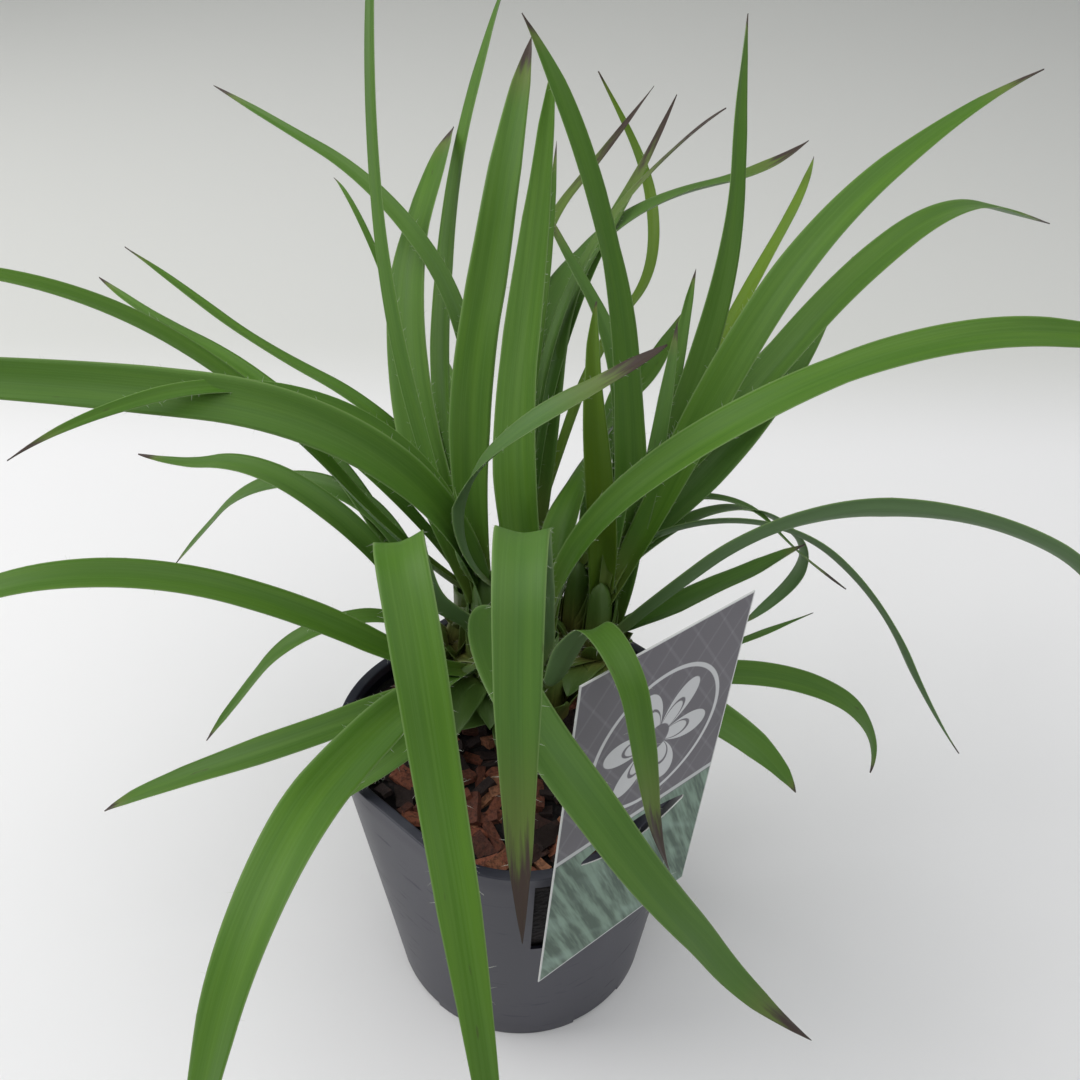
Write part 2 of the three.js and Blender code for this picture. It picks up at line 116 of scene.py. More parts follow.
# Stems: a rolled heart, ribbed and rounded at its tip, wrapped by a sheath for every blade
SOIL_LEVEL = 137 * MM
STEM_RADIUS = 7.1 * MM
STEM_TIP_RADIUS = 3.8 * MM
STEM_SHOULDERS = (0.3, 0.75)
STEM_REFERENCE = 60 * MM
STEM_MARGIN = 4 * MM
STEM_SINK = 6 * MM
STEM_GRID = (16, 36)
STEM_RIBS = 5
STEM_RIB_MIDDLE = 0.94
STEM_RIB_DEPTH = 0.05
STEM_CLOSES_AT = 0.85
STEM_CLOSES_TO = 0.1
SHEATH_GRID = (14, 13)
SHEATH_WRAP_KNOTS = ((0, 150), (0.6, 110), (1, 45))
SHEATH_OVERLAP = 3 * MM
SHEATH_STANDOFF = 0.35 * MM
SHEATH_LAYER = 0.22 * MM
SHEATH_LAYERS = 5
SHEATH_FLARE = 0.9 * MM
SHEATH_WALL = 0.4 * MM

# Blades, and the short worn bases of old ones
ROOT_OFFSET = 3 * MM
BLADE_STEPS = 72
BLADE_SPANS = 10
PATH_STEPS = 4
WIDTH_KNOTS = (
    (0, 0.62), (0.12, 0.8), (0.3, 1), (0.55, 0.97), (0.75, 0.78), (0.9, 0.45), (0.97, 0.17), (1, 0.02),
)
GUTTER_KNOTS = ((0, 42), (0.15, 30), (0.4, 14), (0.8, 14), (1, 24))
GUTTER_CURVE = 1.5
THICKNESS_KNOTS = ((0, 1.4 * MM), (0.1, 0.55 * MM), (1, 0.55 * MM))
MARGIN_THICKNESS = 0.22 * MM
MARGIN_THINNING = 4
WAVE_HEIGHT = 0.35 * MM
WAVE_PACES = (14, 22)
WAVE_PHASES = (0, 6.3)
WAVE_SHARES = (0.1, 0.9)
LEAF_VALUES = ("share", "edge", "under", "tone", "brown", "seed")
TONE_SPREAD = 0.12
SEED_RANGE = (0, 60)
FIRST_SEED = 100
BASE_COLOUR = (0.4, -0.8)
OLD_BASE_COUNT = 6
OLD_BASE_HEIGHT = -3
OLD_BASE_SPREAD = 25
OLD_BASE_LENGTHS = (26, 44)
OLD_BASE_WIDTH = 15
OLD_BASE_RISES = (50, 75, 62)
LOW_BASE_HEIGHT = 6
LOW_BASE_RISES = (60, 40, 15, -20)
LOW_BASE_WIDTH = 19

# Headings and lengths of the old bases that lie outwards
LOW_BASES = {
    "shoot_front_left": ((232, 46), (248, 60), (262, 66), (275, 58), (288, 66), (302, 54), (322, 42)),
    "shoot_front": ((240, 40), (218, 46), (198, 50), (176, 44), (150, 38)),
    "shoot_right": ((205, 44), (228, 50), (250, 46), (275, 42)),
    "shoot_left": ((295, 40), (330, 42)),
}

# Hairs on the margins; their chance at a step of the margin falls from root to tip
HAIR_LENGTH = 2.3 * MM
HAIR_RADIUS = 0.055 * MM
HAIR_TIP_RADIUS = 0.01 * MM
HAIR_CHANCE = 0.85
HAIR_CHANCE_FALL = 0.35
HAIR_ENDS = (3, 6)
HAIR_AHEAD = 0.5
HAIR_LIFT = (0, 0, 0.15)
HAIR_LEAN = 0.6
HAIR_SIZES = (0.35, 1.0)
HAIR_SEED = 5

# Label: a thin card that stands almost upright outside the rim, hung over it by its flap
LABEL_WIDTH = 80 * MM
LABEL_HEIGHT = 156 * MM
LABEL_THICKNESS = 0.5 * MM
LABEL_RIM = 0.7 * MM
LABEL_HEADING = -49.5
LABEL_REACH = 72.7 * MM
LABEL_LEAN = 1
LABEL_ROLL = 4.5
LABEL_CENTRE = (-4.4 * MM, 170 * MM)
OPENING_CENTRE = (0, -17 * MM)
OPENING_HALF = 25 * MM
OPENING_RISE = 4 * MM
OPENING_DIP = 6 * MM
OPENING_END = 1.5 * MM
OPENING_STEPS = 25
OPENING_END_STEPS = 9
TONGUE_HALF = 15 * MM
TONGUE_TAPER = 0.35
TONGUE_STEPS = 24
TONGUE_PATH = ((0, 8), (-3, 5), (-7, 1), (-10.2, -5), (-10.8, -13))

# The label's print: a rosette in a ring on a lattice, and a stripe above the lower field
LATTICE_STEP = 6.5 * MM
LATTICE_SLOPE = 0.72
ROSETTE_CENTRE = (2 * MM, 30 * MM)
PETAL_REACH = 26 * MM
PETAL_VEIN = 16.5 * MM
ROSETTE_CORE = 6.2 * MM
RING_RADIUS = 30.5 * MM
STRIPE_HEIGHT = -7.5 * MM
PRINT_EDGE = 0.3 * MM
LINE_EDGE = 0.2 * MM

# Each shoot: node, place on the soil and its blades. A blade is its height up the stem, then headings, rises
# and rolls in degrees at even steps from root to tip, length and width in millimetres, the share of brown at
# its tip, and its tone from yellow (-1) to blue (1).
SHOOTS = (
    ("shoot_front", (9, 6), (
        (30, [260, 275], [80, 60, 60, 60, -50, -60, -60], [0], 270, 17, 0.15, 0.5),
        (20, [210, 260, 310, 360, 350], [90, 50, 0, -50, -60, -40], [0, 0, -60], 310, 17, 0.09, 0.3),
        (30, [280, 280, 290, 310, 360], [30, 60, 60, 50, -70, -80, -70], [0, 0, -30], 215, 11, 0.18, 0.2),
        (50, [0, 20], [90, 45, 20, -10, -20], [-20, 0, -40], 320, 18, 0.04, 0.1),
        (48, [120, 80, 70], [70, 50, 60, 80], [30], 220, 20, 0.03, -0.1),
        (50, [80, 50], [60, 20, 10, 50], [0, 60, 0], 170, 20, 0.04, 0.1),
    )),
    ("shoot_front_left", (-16, 28), (
        (12, [210, 190, 180, 160], [100, 60, 10, 0, 0], [40], 380, 18, 0.04, 0.2),
        (10, [250, 190, 190, 195, 200], [40, 45, 30, 0, -40, -70], [20, 0], 320, 14, 0.04, 0.0),
        (10, [220, 170], [10, -5, -20, -40], [0], 180, 16, 0.07, 0.1),
        (12, [250, 255, 245], [40, 30, 20, -50, -70], [-10, 0, -40], 300, 20, 0.12, 0.1),
        (4, [260, 230, 200], [40, 10, -10, -40], [0], 100, 13, 0.03, 0.1),
        (
            24, [240, 260, 285, 285, 285], [70, 50, 50, 60, 60, -30, -50, -40, -50, -60, -70], [-10],
            350, 16, 0.04, 0.1,
        ),
        (50, [110, 70, 80], [60, 60, 60, 30], [0], 230, 18, 0.1, 0.0),
        (50, [135, 105, 80, 85], [60, 40, 40, 20, 0], [30], 250, 20, 0.1, -0.1),
        (30, [70, 85], [60, 50, 50], [0], 210, 7, 0.05, -0.1),
        (60, [80, -20, 0, 30], [130, 90, 50, 30, 20], [0], 150, 16, 0.22, 0.7),
        (44, [140, 180, 220, 260], [90, 60, 30, 10, 10], [20], 240, 8, 0.08, 0.2),
        (34, [135, 100, 80], [70, 50, 50, 50], [50], 350, 8, 0.03, 0.2),
    )),
    ("shoot_left", (-38, 36), (
        (26, [160, 155], [60, 50, 20, -20, 0], [0], 170, 14, 0.06, 0.3),
        (18, [110, 150, 160, 160], [70, 30, -20, -50, -50], [20], 220, 10, 0.04, 0.4),
        (8, [190, 200], [90, 0, -50, -50], [0], 140, 10, 0.05, 0.2),
        (20, [130], [60, 20, -40], [0], 160, 10, 0.05, 0.2),
    )),
    ("shoot_right", (33, 38), (
        (14, [-30, 0, 0, 10], [60, 50, 0, -30, -80], [30, 70, 30], 290, 14, 0.04, 0.0),
        (20, [0, -20], [30, 40, 40, 50], [0], 100, 15, 0.08, 0.4),
        (8, [-20, 15, 30], [0, 15, 10, 0], [0], 100, 4, 0.06, 0.5),
        (6, [-40, 10, 10, -10], [30, -10, -40, -90], [-40], 180, 11, 0.05, 0.4),
        (4, [-50, -20], [30, 10, -20, -60], [-30], 110, 15, 0.05, 0.3),
        (40, [30, 40, 30, 20], [60, 60, 50, 30, 20], [-20, 0], 280, 17, 0.07, 0.1),
        (46, [50, 60, 85, 80], [50, 50, 40, 20], [-30, -60], 280, 13, 0.05, 0.3),
        (48, [60, 90, 120, 100], [80, 50, 30, 0], [-20], 190, 10, 0.14, 0.4),
        (40, [40, 75, 75], [60, 50, 50, 30], [0], 150, 8, 0.05, 0.1),
        (32, [30, 70, 80], [60, 70, 60, 40], [0], 130, 8, 0.08, 0.4),
        (16, [80, 40], [80, 100, 100, 90], [0], 170, 14, 0.02, -0.6),
        (14, [40, 110, 150, 140], [70, 80, 80, 70, 50], [-30, 10], 260, 18, 0.04, 0.2),
    )),
    ("shoot_back_right", (24, 54), (
        (32, [10, 0, -20, -20], [60, 10, -40, -60, -50], [40], 250, 11, 0.04, 0.2),
        (20, [20, 35, 30, 0, 60], [50, 30, 0, -30, -50, -130, -210], [20], 210, 12, 0.04, 0.2),
        (14, [70, 20, 10, 10], [80, 10, -50, -40], [0], 200, 6, 0.15, 0.4),
        (46, [30, 40], [30, 40, 40, 20, -20, -20], [0], 330, 18, 0.08, 0.2),
        (44, [30, 50, 70], [40, 30, 0, 0], [10], 250, 13, 0.06, 0.5),
        (46, [40, 60, 75], [40, 40, 10, 0], [20], 280, 8, 0.03, -0.7),
        (40, [10, 40, 60, 50], [40, 30, 20, 0], [-50, 50], 230, 17, 0.05, 0.4),
        (26, [80, 70], [60, 10, -50], [0], 190, 11, 0.05, 0.2),
    )),
    ("shoot_back", (2, 60), (
        (54, [80, 85, 55, 30, 40], [70, 50, 20, 10, 0, 20], [-40, 30, 0], 290, 21, 0.12, 0.3),
        (46, [90, 60, 60], [80, 40, 10, 0], [30], 290, 7, 0.4, 0.4),
        (38, [110, 85, 65, 60], [80, 40, 10, 20], [0], 290, 6, 0.4, 0.2),
        (42, [80, 70, 70], [90, 30, 10, 20], [0], 290, 7, 0.3, 0.4),
        (48, [70, 70, 60, 100, 170], [40, 30, 10, 40, 60], [30], 280, 8, 0.04, -0.8),
        (34, [90], [70, 20, -50], [0], 200, 12, 0.05, 0.2),
    )),
    ("shoot_back_left", (-23, 56), (
        (32, [210, 180, 200, 200], [50, 60, 40, 10, -20], [0], 340, 12, 0.05, -0.1),
        (34, [165, 145, 130], [60, 30, 0, 0], [0], 260, 9, 0.06, 0.2),
        (34, [130, 150, 150, 140], [95, 40, 10, 20, 10], [0, -20], 240, 9, 0.06, 0.1),
        (50, [110, 90, 80, 80], [50, 40, 30, 20], [50], 320, 15, 0.05, 0.1),
        (36, [50, 100, 130, 140, 140], [90, 60, 30, 10, 10], [20], 300, 8, 0.06, 0.2),
        (32, [120, 110], [80, 50, 20, -10], [0], 240, 4, 0.05, 0.1),
        (24, [100], [70, 10, -50], [0], 190, 11, 0.05, 0.2),
    )),
)


# Shader maths


class Wire:
    """One output of a material's node, which sums and products take as they take a number."""

    def __init__(self, paint, socket):
        self.paint = paint
        self.socket = socket

    def __add__(self, other):
        return self.paint.sum_of("ADD", self, other)

    def __radd__(self, other):
        return self.paint.sum_of("ADD", other, self)

    def __sub__(self, other):
        return self.paint.sum_of("SUBTRACT", self, other)

    def __rsub__(self, other):
        return self.paint.sum_of("SUBTRACT", other, self)

    def __mul__(self, other):
        return self.paint.sum_of("MULTIPLY", self, other)

    def __rmul__(self, other):
        return self.paint.sum_of("MULTIPLY", other, self)

    def __truediv__(self, other):
        return self.paint.sum_of("DIVIDE", self, other)

    def __pow__(self, other):
        return self.paint.sum_of("POWER", self, other)

    def __abs__(self):
        return self.paint.sum_of("ABSOLUTE", self)

    def ramp(self, low, high):
        """0 below low, 1 above high and smooth between."""
        settings = {"interpolation_type": "SMOOTHSTEP"}
        values = {"Value": self, "From Min": low, "From Max": high}
        return self.paint.node("ShaderNodeMapRange", settings, values)["Result"]


class Paint:
    """A material under construction."""

    def __init__(self, name):
        self.material = bpy.data.materials.new(name)
        self.material.use_nodes = True
        self.tree = self.material.node_tree
        self.tree.nodes.clear()

    def node(self, kind, settings=None, values=None):
        """Adds a node, with its settings first and then values or wires on its inputs."""
        made = self.tree.nodes.new(kind)
        for name, setting in (settings or {}).items():
            setattr(made, name, setting)
        for name, value in (values or {}).items():
            if isinstance(value, Wire):
                self.tree.links.new(value.socket, made.inputs[name])
            else:
                made.inputs[name].default_value = value
        return {key: Wire(self, socket) for i, socket in enumerate(made.outputs) for key in (i, socket.name)}

    def sum_of(self, operation, *terms):
        return self.node("ShaderNodeMath", {"operation": operation}, dict(enumerate(terms)))[0]

    def vector(self, x, y, z):
        return self.node("ShaderNodeCombineXYZ", None, {0: x, 1: y, 2: z})[0]

    def parts(self, vector):
        split = self.node("ShaderNodeSeparateXYZ", None, {0: vector})
        return split[0], split[1], split[2]

    def place(self):
        return self.node("ShaderNodeTexCoord")["Object"]

    def flat_place(self):
        """The piece's own UV map, in metres."""
        u, v, _ = self.parts(self.node("ShaderNodeTexCoord")["UV"])
        return u, v

    def value_of(self, attribute):
        return self.node("ShaderNodeAttribute", {"attribute_name": attribute})["Fac"]

    def noise(self, where, scale=1.0, detail=2.0, roughness=0.5):
        values = {"Vector": where, "Scale": scale, "Detail": detail, "Roughness": roughness}
        return self.node("ShaderNodeTexNoise", None, values)[0]

    def grain(self, x, y, z, detail=2.0, roughness=0.5):
        """Noise that is drawn out by multiples of its places."""
        return self.noise(self.vector(x, y, z), 1.0, detail, roughness)

    def cells(self, where, scale):
        return self.node("ShaderNodeTexVoronoi", None, {"Vector": where, "Scale": scale})["Distance"]

    def blend(self, share, first, second):
        """Between two colours, each a triple or a wire."""
        colour = [c if isinstance(c, Wire) else (*c, 1) for c in (first, second)]
        return self.node("ShaderNodeMix", {"data_type": "RGBA"}, {0: share, 6: colour[0], 7: colour[1]})[2]

    def bump(self, height, depth, strength=1.0):
        values = {"Height": height, "Distance": depth, "Strength": strength}
        return self.node("ShaderNodeBump", None, values)["Normal"]

    def finish(self, **values):
        """Ends in a Principled surface; underscores in a name stand for spaces."""
        named = {name.replace("_", " "): value for name, value in values.items()}
        surface = self.node("ShaderNodeBsdfPrincipled", None, named)["BSDF"]
        self.node("ShaderNodeOutputMaterial", None, {"Surface": surface})
        return self.material


def leaf_green():
    """Blades: veined green, paler and bluer below, pale at the base and margin, brown at the tip."""
    paint = Paint("leaf_green")
    across, along = paint.flat_place()
    share, edge, under, tone, brown, seed = (paint.value_of(name) for name in LEAF_VALUES)
    veins = paint.grain(across * 1500, along * 9, seed, 2.0, 0.6)
    bands = paint.grain(across * 330, along * 14, seed + 5)
    clouds = paint.grain(across * 60, along * 22, seed + 9, 3.0)
    upper = paint.blend(bands.ramp(0.25, 0.8), (0.055, 0.142, 0.01), (0.079, 0.18, 0.014))
    yellow = paint.blend((0 - tone).ramp(0.0, 1.0), upper, (0.125, 0.215, 0.014))
    blue = paint.blend(tone.ramp(0.0, 1.0) * 0.75, yellow, (0.084, 0.155, 0.06))
    clouded = paint.blend(clouds.ramp(0.35, 0.75) * 0.25, blue, (0.08, 0.162, 0.03))
    lined = paint.blend(veins.ramp(0.46, 0.62) * 0.13, clouded, (0.13, 0.25, 0.055))
    lower = paint.blend(bands.ramp(0.3, 0.7), (0.085, 0.16, 0.056), (0.11, 0.2, 0.075))
    sides = paint.blend(under, lined, lower)
    pale = paint.blend((1 - share.ramp(0.0, 0.14)) * 0.55, sides, (0.16, 0.19, 0.04))
    margin = paint.blend(edge.ramp(0.9, 1.0) * 0.6, pale, (0.22, 0.33, 0.12))
    reach = (share - 1 + brown) / brown
    faded = paint.blend(reach.ramp(-0.6, 0.3) * 0.45, margin, (0.15, 0.16, 0.045))
    streaks = paint.grain(across * 700, along * 45, seed + 3, 3.0, 0.6)
    dry = (reach * 0.9 + streaks * 1.1).ramp(0.66, 1.1) * reach.ramp(-0.5, 0.2)
    tipped = paint.blend(dry * 0.92, faded, (0.05, 0.027, 0.03))
    flecks = paint.grain(across * 420, along * 95, seed + 7, 1.0).ramp(0.74, 0.82)
    colour = paint.blend(flecks * share.ramp(0.45, 0.75) * 0.5, tipped, (0.05, 0.05, 0.02))
    relief = veins * 0.6 + bands * 0.4
    return paint.finish(
        Base_Color=colour,
        Roughness=0.46 + bands * 0.12,
        Specular_IOR_Level=0.24,
        Subsurface_Weight=0.06,
        Subsurface_Radius=(0.6, 1.0, 0.2),
        Subsurface_Scale=0.001,
        Normal=paint.bump(relief, 0.00018, 0.45),
    )


def sheath_green():
    """The rolled leaf bases at the heart of a shoot."""
    paint = Paint("sheath_green")
    across, along = paint.flat_place()
    seed = paint.value_of("seed")
    ribs = paint.grain(across * 900, along * 12, seed)
    low = 1 - along.ramp(0.0, 0.028)
    olive = paint.blend(ribs.ramp(0.35, 0.7), (0.085, 0.098, 0.017), (0.17, 0.175, 0.04))
    green = paint.blend(along.ramp(0.012, 0.042), olive, (0.062, 0.125, 0.018))
    based = paint.blend(low * 0.5, green, (0.14, 0.1, 0.035))
    torn = paint.grain(across * 260, along * 60, seed + 4, 3.0).ramp(0.6, 0.72)
    colour = paint.blend(torn * low, based, (0.05, 0.026, 0.014))
    return paint.finish(Base_Color=colour, Roughness=0.5, Normal=paint.bump(ribs, 0.0003, 0.7))


def pale_hair():
    """Fine white hairs on the margins."""
    paint = Paint("pale_hair")
    shade = paint.noise(paint.place(), 900.0, 1.0)
    colour = paint.blend(shade, (0.42, 0.46, 0.36), (0.7, 0.72, 0.64))
    return paint.finish(Base_Color=colour, Roughness=0.6)


def pot_plastic():
    """Moulded blue-grey plastic with faint flow marks and scuffs, and a painted highlight on the top of the
    rim.
    """
    paint = Paint("pot_plastic")
    where = paint.place()
    x, y, z = paint.parts(where)
    flow = paint.grain(x * 16, y * 16, z * 4, 3.0)
    speck = paint.noise(where, 2600.0)
    scuff = paint.grain(x * 60, y * 60, z * 420, 3.0).ramp(0.62, 0.74)
    base = paint.blend(flow.ramp(0.3, 0.75), (0.019, 0.019, 0.032), (0.03, 0.03, 0.047))
    dusty = paint.blend(scuff * 0.2, base, (0.1, 0.102, 0.118))
    # Painted highlight: towards the top of the rim the plastic turns lighter, in patches where the flow noise
    # is high
    rim_painted_highlight = paint.blend(z.ramp(0.139, 0.1445) * flow.ramp(0.4, 0.6) * 0.35, dusty, (0.08, 0.083, 0.098))
    rough = 0.33 + flow * 0.1 + scuff * 0.18
    relief = speck * 0.4 + flow * 0.6
    relief_bump = paint.bump(relief, 0.00008, 0.5)
    return paint.finish(Base_Color=rim_painted_highlight, Roughness=rough, Specular_IOR_Level=0.4, Normal=relief_bump)


def potting_soil():
    """Dark crumbly compost, darkened further to near black as painted shade for the slot behind the label."""
    paint = Paint("potting_soil")
    where = paint.place()
    crumbs = paint.cells(where, 420.0)
    fibres = paint.noise(where, 240.0, 5.0, 0.7)
    # Painted shade: both colours are near black, the shade seen through the slot behind the label; the bed
    # under the chips shares them
    colour = paint.blend(fibres.ramp(0.35, 0.75), (0.006, 0.005, 0.006), (0.018, 0.013, 0.012))
    return paint.finish(Base_Color=colour, Roughness=0.95, Normal=paint.bump(crumbs + fibres, 0.0012, 0.8))


def bark_brown():
    """Bark chips: red-brown, some tan and some nearly black, with a dark grain."""
    paint = Paint("bark_brown")
    where = paint.place()
    pick = paint.value_of("chip_tone")
    grain = paint.noise(where, 620.0, 4.0, 0.65)
    cork = paint.noise(where, 210.0, 3.0)
    red = paint.blend(pick.ramp(0.3, 0.95), (0.05, 0.016, 0.011), (0.25, 0.075, 0.038))
    tan = paint.blend(pick.ramp(0.88, 0.91) * 0.65, red, (0.34, 0.16, 0.08))
    dark = paint.blend((1 - pick).ramp(0.6, 0.68) * 0.85, tan, (0.016, 0.009, 0.008))
    grained = paint.blend(grain.ramp(0.42, 0.7) * 0.65, dark, (0.016, 0.008, 0.007))
    colour = paint.blend(cork.ramp(0.58, 0.78) * 0.28, grained, (0.18, 0.075, 0.045))
    return paint.finish(Base_Color=colour, Roughness=0.82, Normal=paint.bump(grain + cork, 0.0009, 0.9))


def label_print():
    """A plain label: a grey field with fine slanting lines and a pale rosette over a streaky green one."""
    paint = Paint("label_print")
    x, y = paint.flat_place()
    cloud = paint.grain(x * 30, y * 30, 1.0)
    slant = paint.sum_of("PINGPONG", x + y * LATTICE_SLOPE, LATTICE_STEP)
    counter = paint.sum_of("PINGPONG", x - y * LATTICE_SLOPE, LATTICE_STEP)
    lines = (1 - slant.ramp(0.0002, 0.0011)) + (1 - counter.ramp(0.0002, 0.0011))
    grey = paint.blend(cloud, (0.083, 0.077, 0.092), (0.12, 0.112, 0.13))
    lined = paint.blend(lines * 0.16, grey, (0.3, 0.3, 0.32))
    dx, dy = x - ROSETTE_CENTRE[0], y - ROSETTE_CENTRE[1]
    reach = (dx * dx + dy * dy) ** 0.5
    turn = paint.sum_of("ARCTAN2", dy, dx)
    wave = abs(paint.sum_of("COSINE", turn * 3 + 0.5)) ** 0.7
    petal = 1 - reach.ramp(0.0, 0.0006) * (reach - wave * PETAL_REACH).ramp(-PRINT_EDGE, PRINT_EDGE)
    core = (reach - ROSETTE_CORE).ramp(-PRINT_EDGE, PRINT_EDGE)
    vein = 1 - (abs(reach - wave * PETAL_VEIN) - 0.0008).ramp(-PRINT_EDGE, PRINT_EDGE)
    ring = 1 - (abs(reach - RING_RADIUS) - 0.0009).ramp(-LINE_EDGE, LINE_EDGE)
    mark = paint.sum_of("MAXIMUM", petal * core * (1 - vein), ring)
    marked = paint.blend(mark * 0.92, lined, (0.62, 0.63, 0.64))
    streak = paint.grain(x * 260 + y * 120, y * 26, 4.0, 3.0, 0.6)
    swirl = paint.grain(x * 46 + y * 60, y * 16 - x * 12, 8.0)
    green = paint.blend(streak.ramp(0.38, 0.64), (0.03, 0.075, 0.045), (0.17, 0.27, 0.2))
    glow = paint.blend(swirl.ramp(0.5, 0.7) * 0.5, green, (0.27, 0.4, 0.33))
    field = paint.blend(y.ramp(-0.0095, -0.0085), glow, marked)
    band = 1 - (abs(y - STRIPE_HEIGHT) - 0.0011).ramp(-LINE_EDGE, LINE_EDGE)
    banded = paint.blend(band, field, (0.5, 0.52, 0.52))
    beside = abs(x) - (LABEL_WIDTH / 2 - LABEL_RIM)
    above = abs(y) - (LABEL_HEIGHT / 2 - LABEL_RIM)
    rim = paint.sum_of("MAXIMUM", beside, above).ramp(-0.0001, 0.0003)
    colour = paint.blend(rim, banded, (0.62, 0.63, 0.62))
    fibre = paint.grain(x * 1400, y * 1400, 2.0)
    relief = paint.bump(fibre, 0.00003, 0.5)
    return paint.finish(Base_Color=colour, Roughness=0.36 + cloud * 0.1, Normal=relief)


def plain_card(name, dark, light):
    """Unprinted card: the off-white board of its edges and back, or the flap, coloured dark as painted shade.
    """
    paint = Paint(name)
    fibre = paint.noise(paint.place(), 1500.0, 3.0)
    colour = paint.blend(fibre, dark, light)
    return paint.finish(Base_Color=colour, Roughness=0.55, Normal=paint.bump(fibre, 0.00004, 0.5))


def pale_board():
    """The plain floor and backdrop."""
    paint = Paint("pale_board")
    x, y, z = paint.parts(paint.place())
    cloud = paint.grain(x * 3, y * 3, z * 3)
    floor = paint.blend(cloud, (0.82, 0.82, 0.825), (0.86, 0.855, 0.855))
    colour = paint.blend(y.ramp(0.4, 0.62), floor, (0.66, 0.665, 0.64))
    return paint.finish(Base_Color=colour, Roughness=0.75)


# Meshes


def linked(name, data):
    """A new object in the scene."""
    made = bpy.data.objects.new(name, data)
    bpy.context.collection.objects.link(made)
    return made


def mesh_piece(name, vertices, faces, *materials, smooth=True):
    mesh = bpy.data.meshes.new(name)
    mesh.from_pydata([tuple(map(float, v)) for v in vertices], [], [tuple(map(int, f)) for f in faces])
    for material in materials:
        mesh.materials.append(material)
    mesh.polygons.foreach_set("use_smooth", [smooth] * len(mesh.polygons))
    mesh.update()
    return linked(name, mesh)


def set_values(piece, name, values):
    """A number for each vertex, for the materials to read."""
    attribute = piece.data.attributes.new(name, "FLOAT", "POINT")
    attribute.data.foreach_set("value", np.asarray(values, dtype=np.float32))


def set_flat_places(piece, places):
    """A UV map from a pair of metres for each vertex."""
    for old in list(piece.data.uv_layers):
        piece.data.uv_layers.remove(old)
    corners = np.empty(len(piece.data.loops), dtype=np.int32)
    piece.data.loops.foreach_get("vertex_index", corners)
    layer = piece.data.uv_layers.new(name="flat")
    layer.data.foreach_set("uv", np.asarray(places, dtype=np.float32)[corners].ravel())


def baked(piece):
    """The piece with its modifiers applied, as a plain mesh."""
    evaluated = piece.evaluated_get(bpy.context.evaluated_depsgraph_get())
    mesh = bpy.data.meshes.new_from_object(evaluated)
    piece.modifiers.clear()
    piece.data = mesh
    return piece


def discard(*pieces):
    for piece in pieces:
        bpy.data.objects.remove(piece, do_unlink=True)


def sheet_faces(rows, columns, closed=False):
    """Quads of a grid of points, row by row, facing the side from which the columns run rightwards."""
    faces = []
    for i in range(rows - 1):
        for j in range(columns - (0 if closed else 1)):
            a, b = i * columns + j, i * columns + (j + 1) % columns
            faces.append((a, b, b + columns, a + columns))
    return faces


def shell_faces(rows, columns):
    """A thin closed sheet: a grid of points, the same grid on its other side and the rim between them."""
    size = rows * columns
    faces = sheet_faces(rows, columns)
    faces += [tuple(size + i for i in reversed(face)) for face in faces]
    for i in range(rows - 1):
        left, right = i * columns, (i + 1) * columns - 1
        faces.append((left, left + columns, left + columns + size, left + size))
        faces.append((right + columns, right, right + size, right + columns + size))
    for j in range(columns - 1):
        far = (rows - 1) * columns + j
        faces.append((j + 1, j, j + size, j + 1 + size))
        faces.append((far, far + 1, far + 1 + size, far + size))
    return faces


def at_knots(knots, share):
    """Between knots, each a share of the length and the value there."""
    places, values = zip(*knots)
    return np.interp(share, places, values)


def at_even(values, share):
    """Values spread evenly from root to tip, read at a share of the length."""
    return np.interp(share, np.linspace(0, 1, len(values)), values)


def unit(vectors):
    return vectors / np.linalg.norm(vectors, axis=-1, keepdims=True)


# Pot


def rim_radius(turn):
    """Distance from the middle to the rim's outline in a direction."""
    quarter = math.pi / 2
    flat = RIM_HALF_WIDTH - RIM_CORNER_RADIUS
    off = turn - math.radians(RIM_TURN)
    local = off - quarter * round(off / quarter)
    if RIM_HALF_WIDTH * abs(math.tan(local)) <= flat:
        return RIM_HALF_WIDTH / math.cos(local)
    reach = flat * (math.cos(local) + abs(math.sin(local)))
    return reach + math.sqrt(reach**2 - 2 * flat**2 + RIM_CORNER_RADIUS**2)


def pot_ring(height, inset, facets):
    ring = []
    for i in range(facets):
        turn = 2 * math.pi * i / facets
        share = height / POT_HEIGHT
        radius = FOOT_RADIUS * (1 - share) + rim_radius(turn) * share - inset
        ring.append((radius * math.cos(turn), radius * math.sin(turn), height))
    return ring


def loft(name, profile, facets, *materials):
    """A closed body through rings of the pot's own outline, each a height and an inset."""
    vertices = [point for height, inset in profile for point in pot_ring(height, inset, facets)]
    faces = sheet_faces(len(profile), facets, closed=True)
    last = (len(profile) - 1) * facets
    middles = len(vertices)
    vertices += [(0, 0, profile[0][0]), (0, 0, profile[-1][0])]
    for j in range(facets):
        after = (j + 1) % facets
        faces += [(middles, after, j), (middles + 1, last + j, last + after)]
    return mesh_piece(name, vertices, faces, *materials)


def arc_profile(centre, radius, start, end, steps=5):
    """Heights and insets round an edge."""
    turns = np.radians(np.linspace(start, end, steps))
    return [(centre[0] + radius * math.sin(t), centre[1] - radius * math.cos(t)) for t in turns]


def cutter(name, outline, bottom, top):
    """An upright prism that a hole is cut with."""
    count = len(outline)
    vertices = [(x, y, z) for z in (bottom, top) for x, y in outline]
    faces = sheet_faces(2, count, closed=True)
    faces += [tuple(reversed(range(count))), tuple(range(count, 2 * count))]
    return mesh_piece(name, vertices, faces, smooth=False)


def ring_points(radius, start, end, count, centre=(0, 0)):
    turns = np.radians(np.linspace(start, end, count))
    return [(centre[0] + radius * math.cos(t), centre[1] + radius * math.sin(t)) for t in turns]


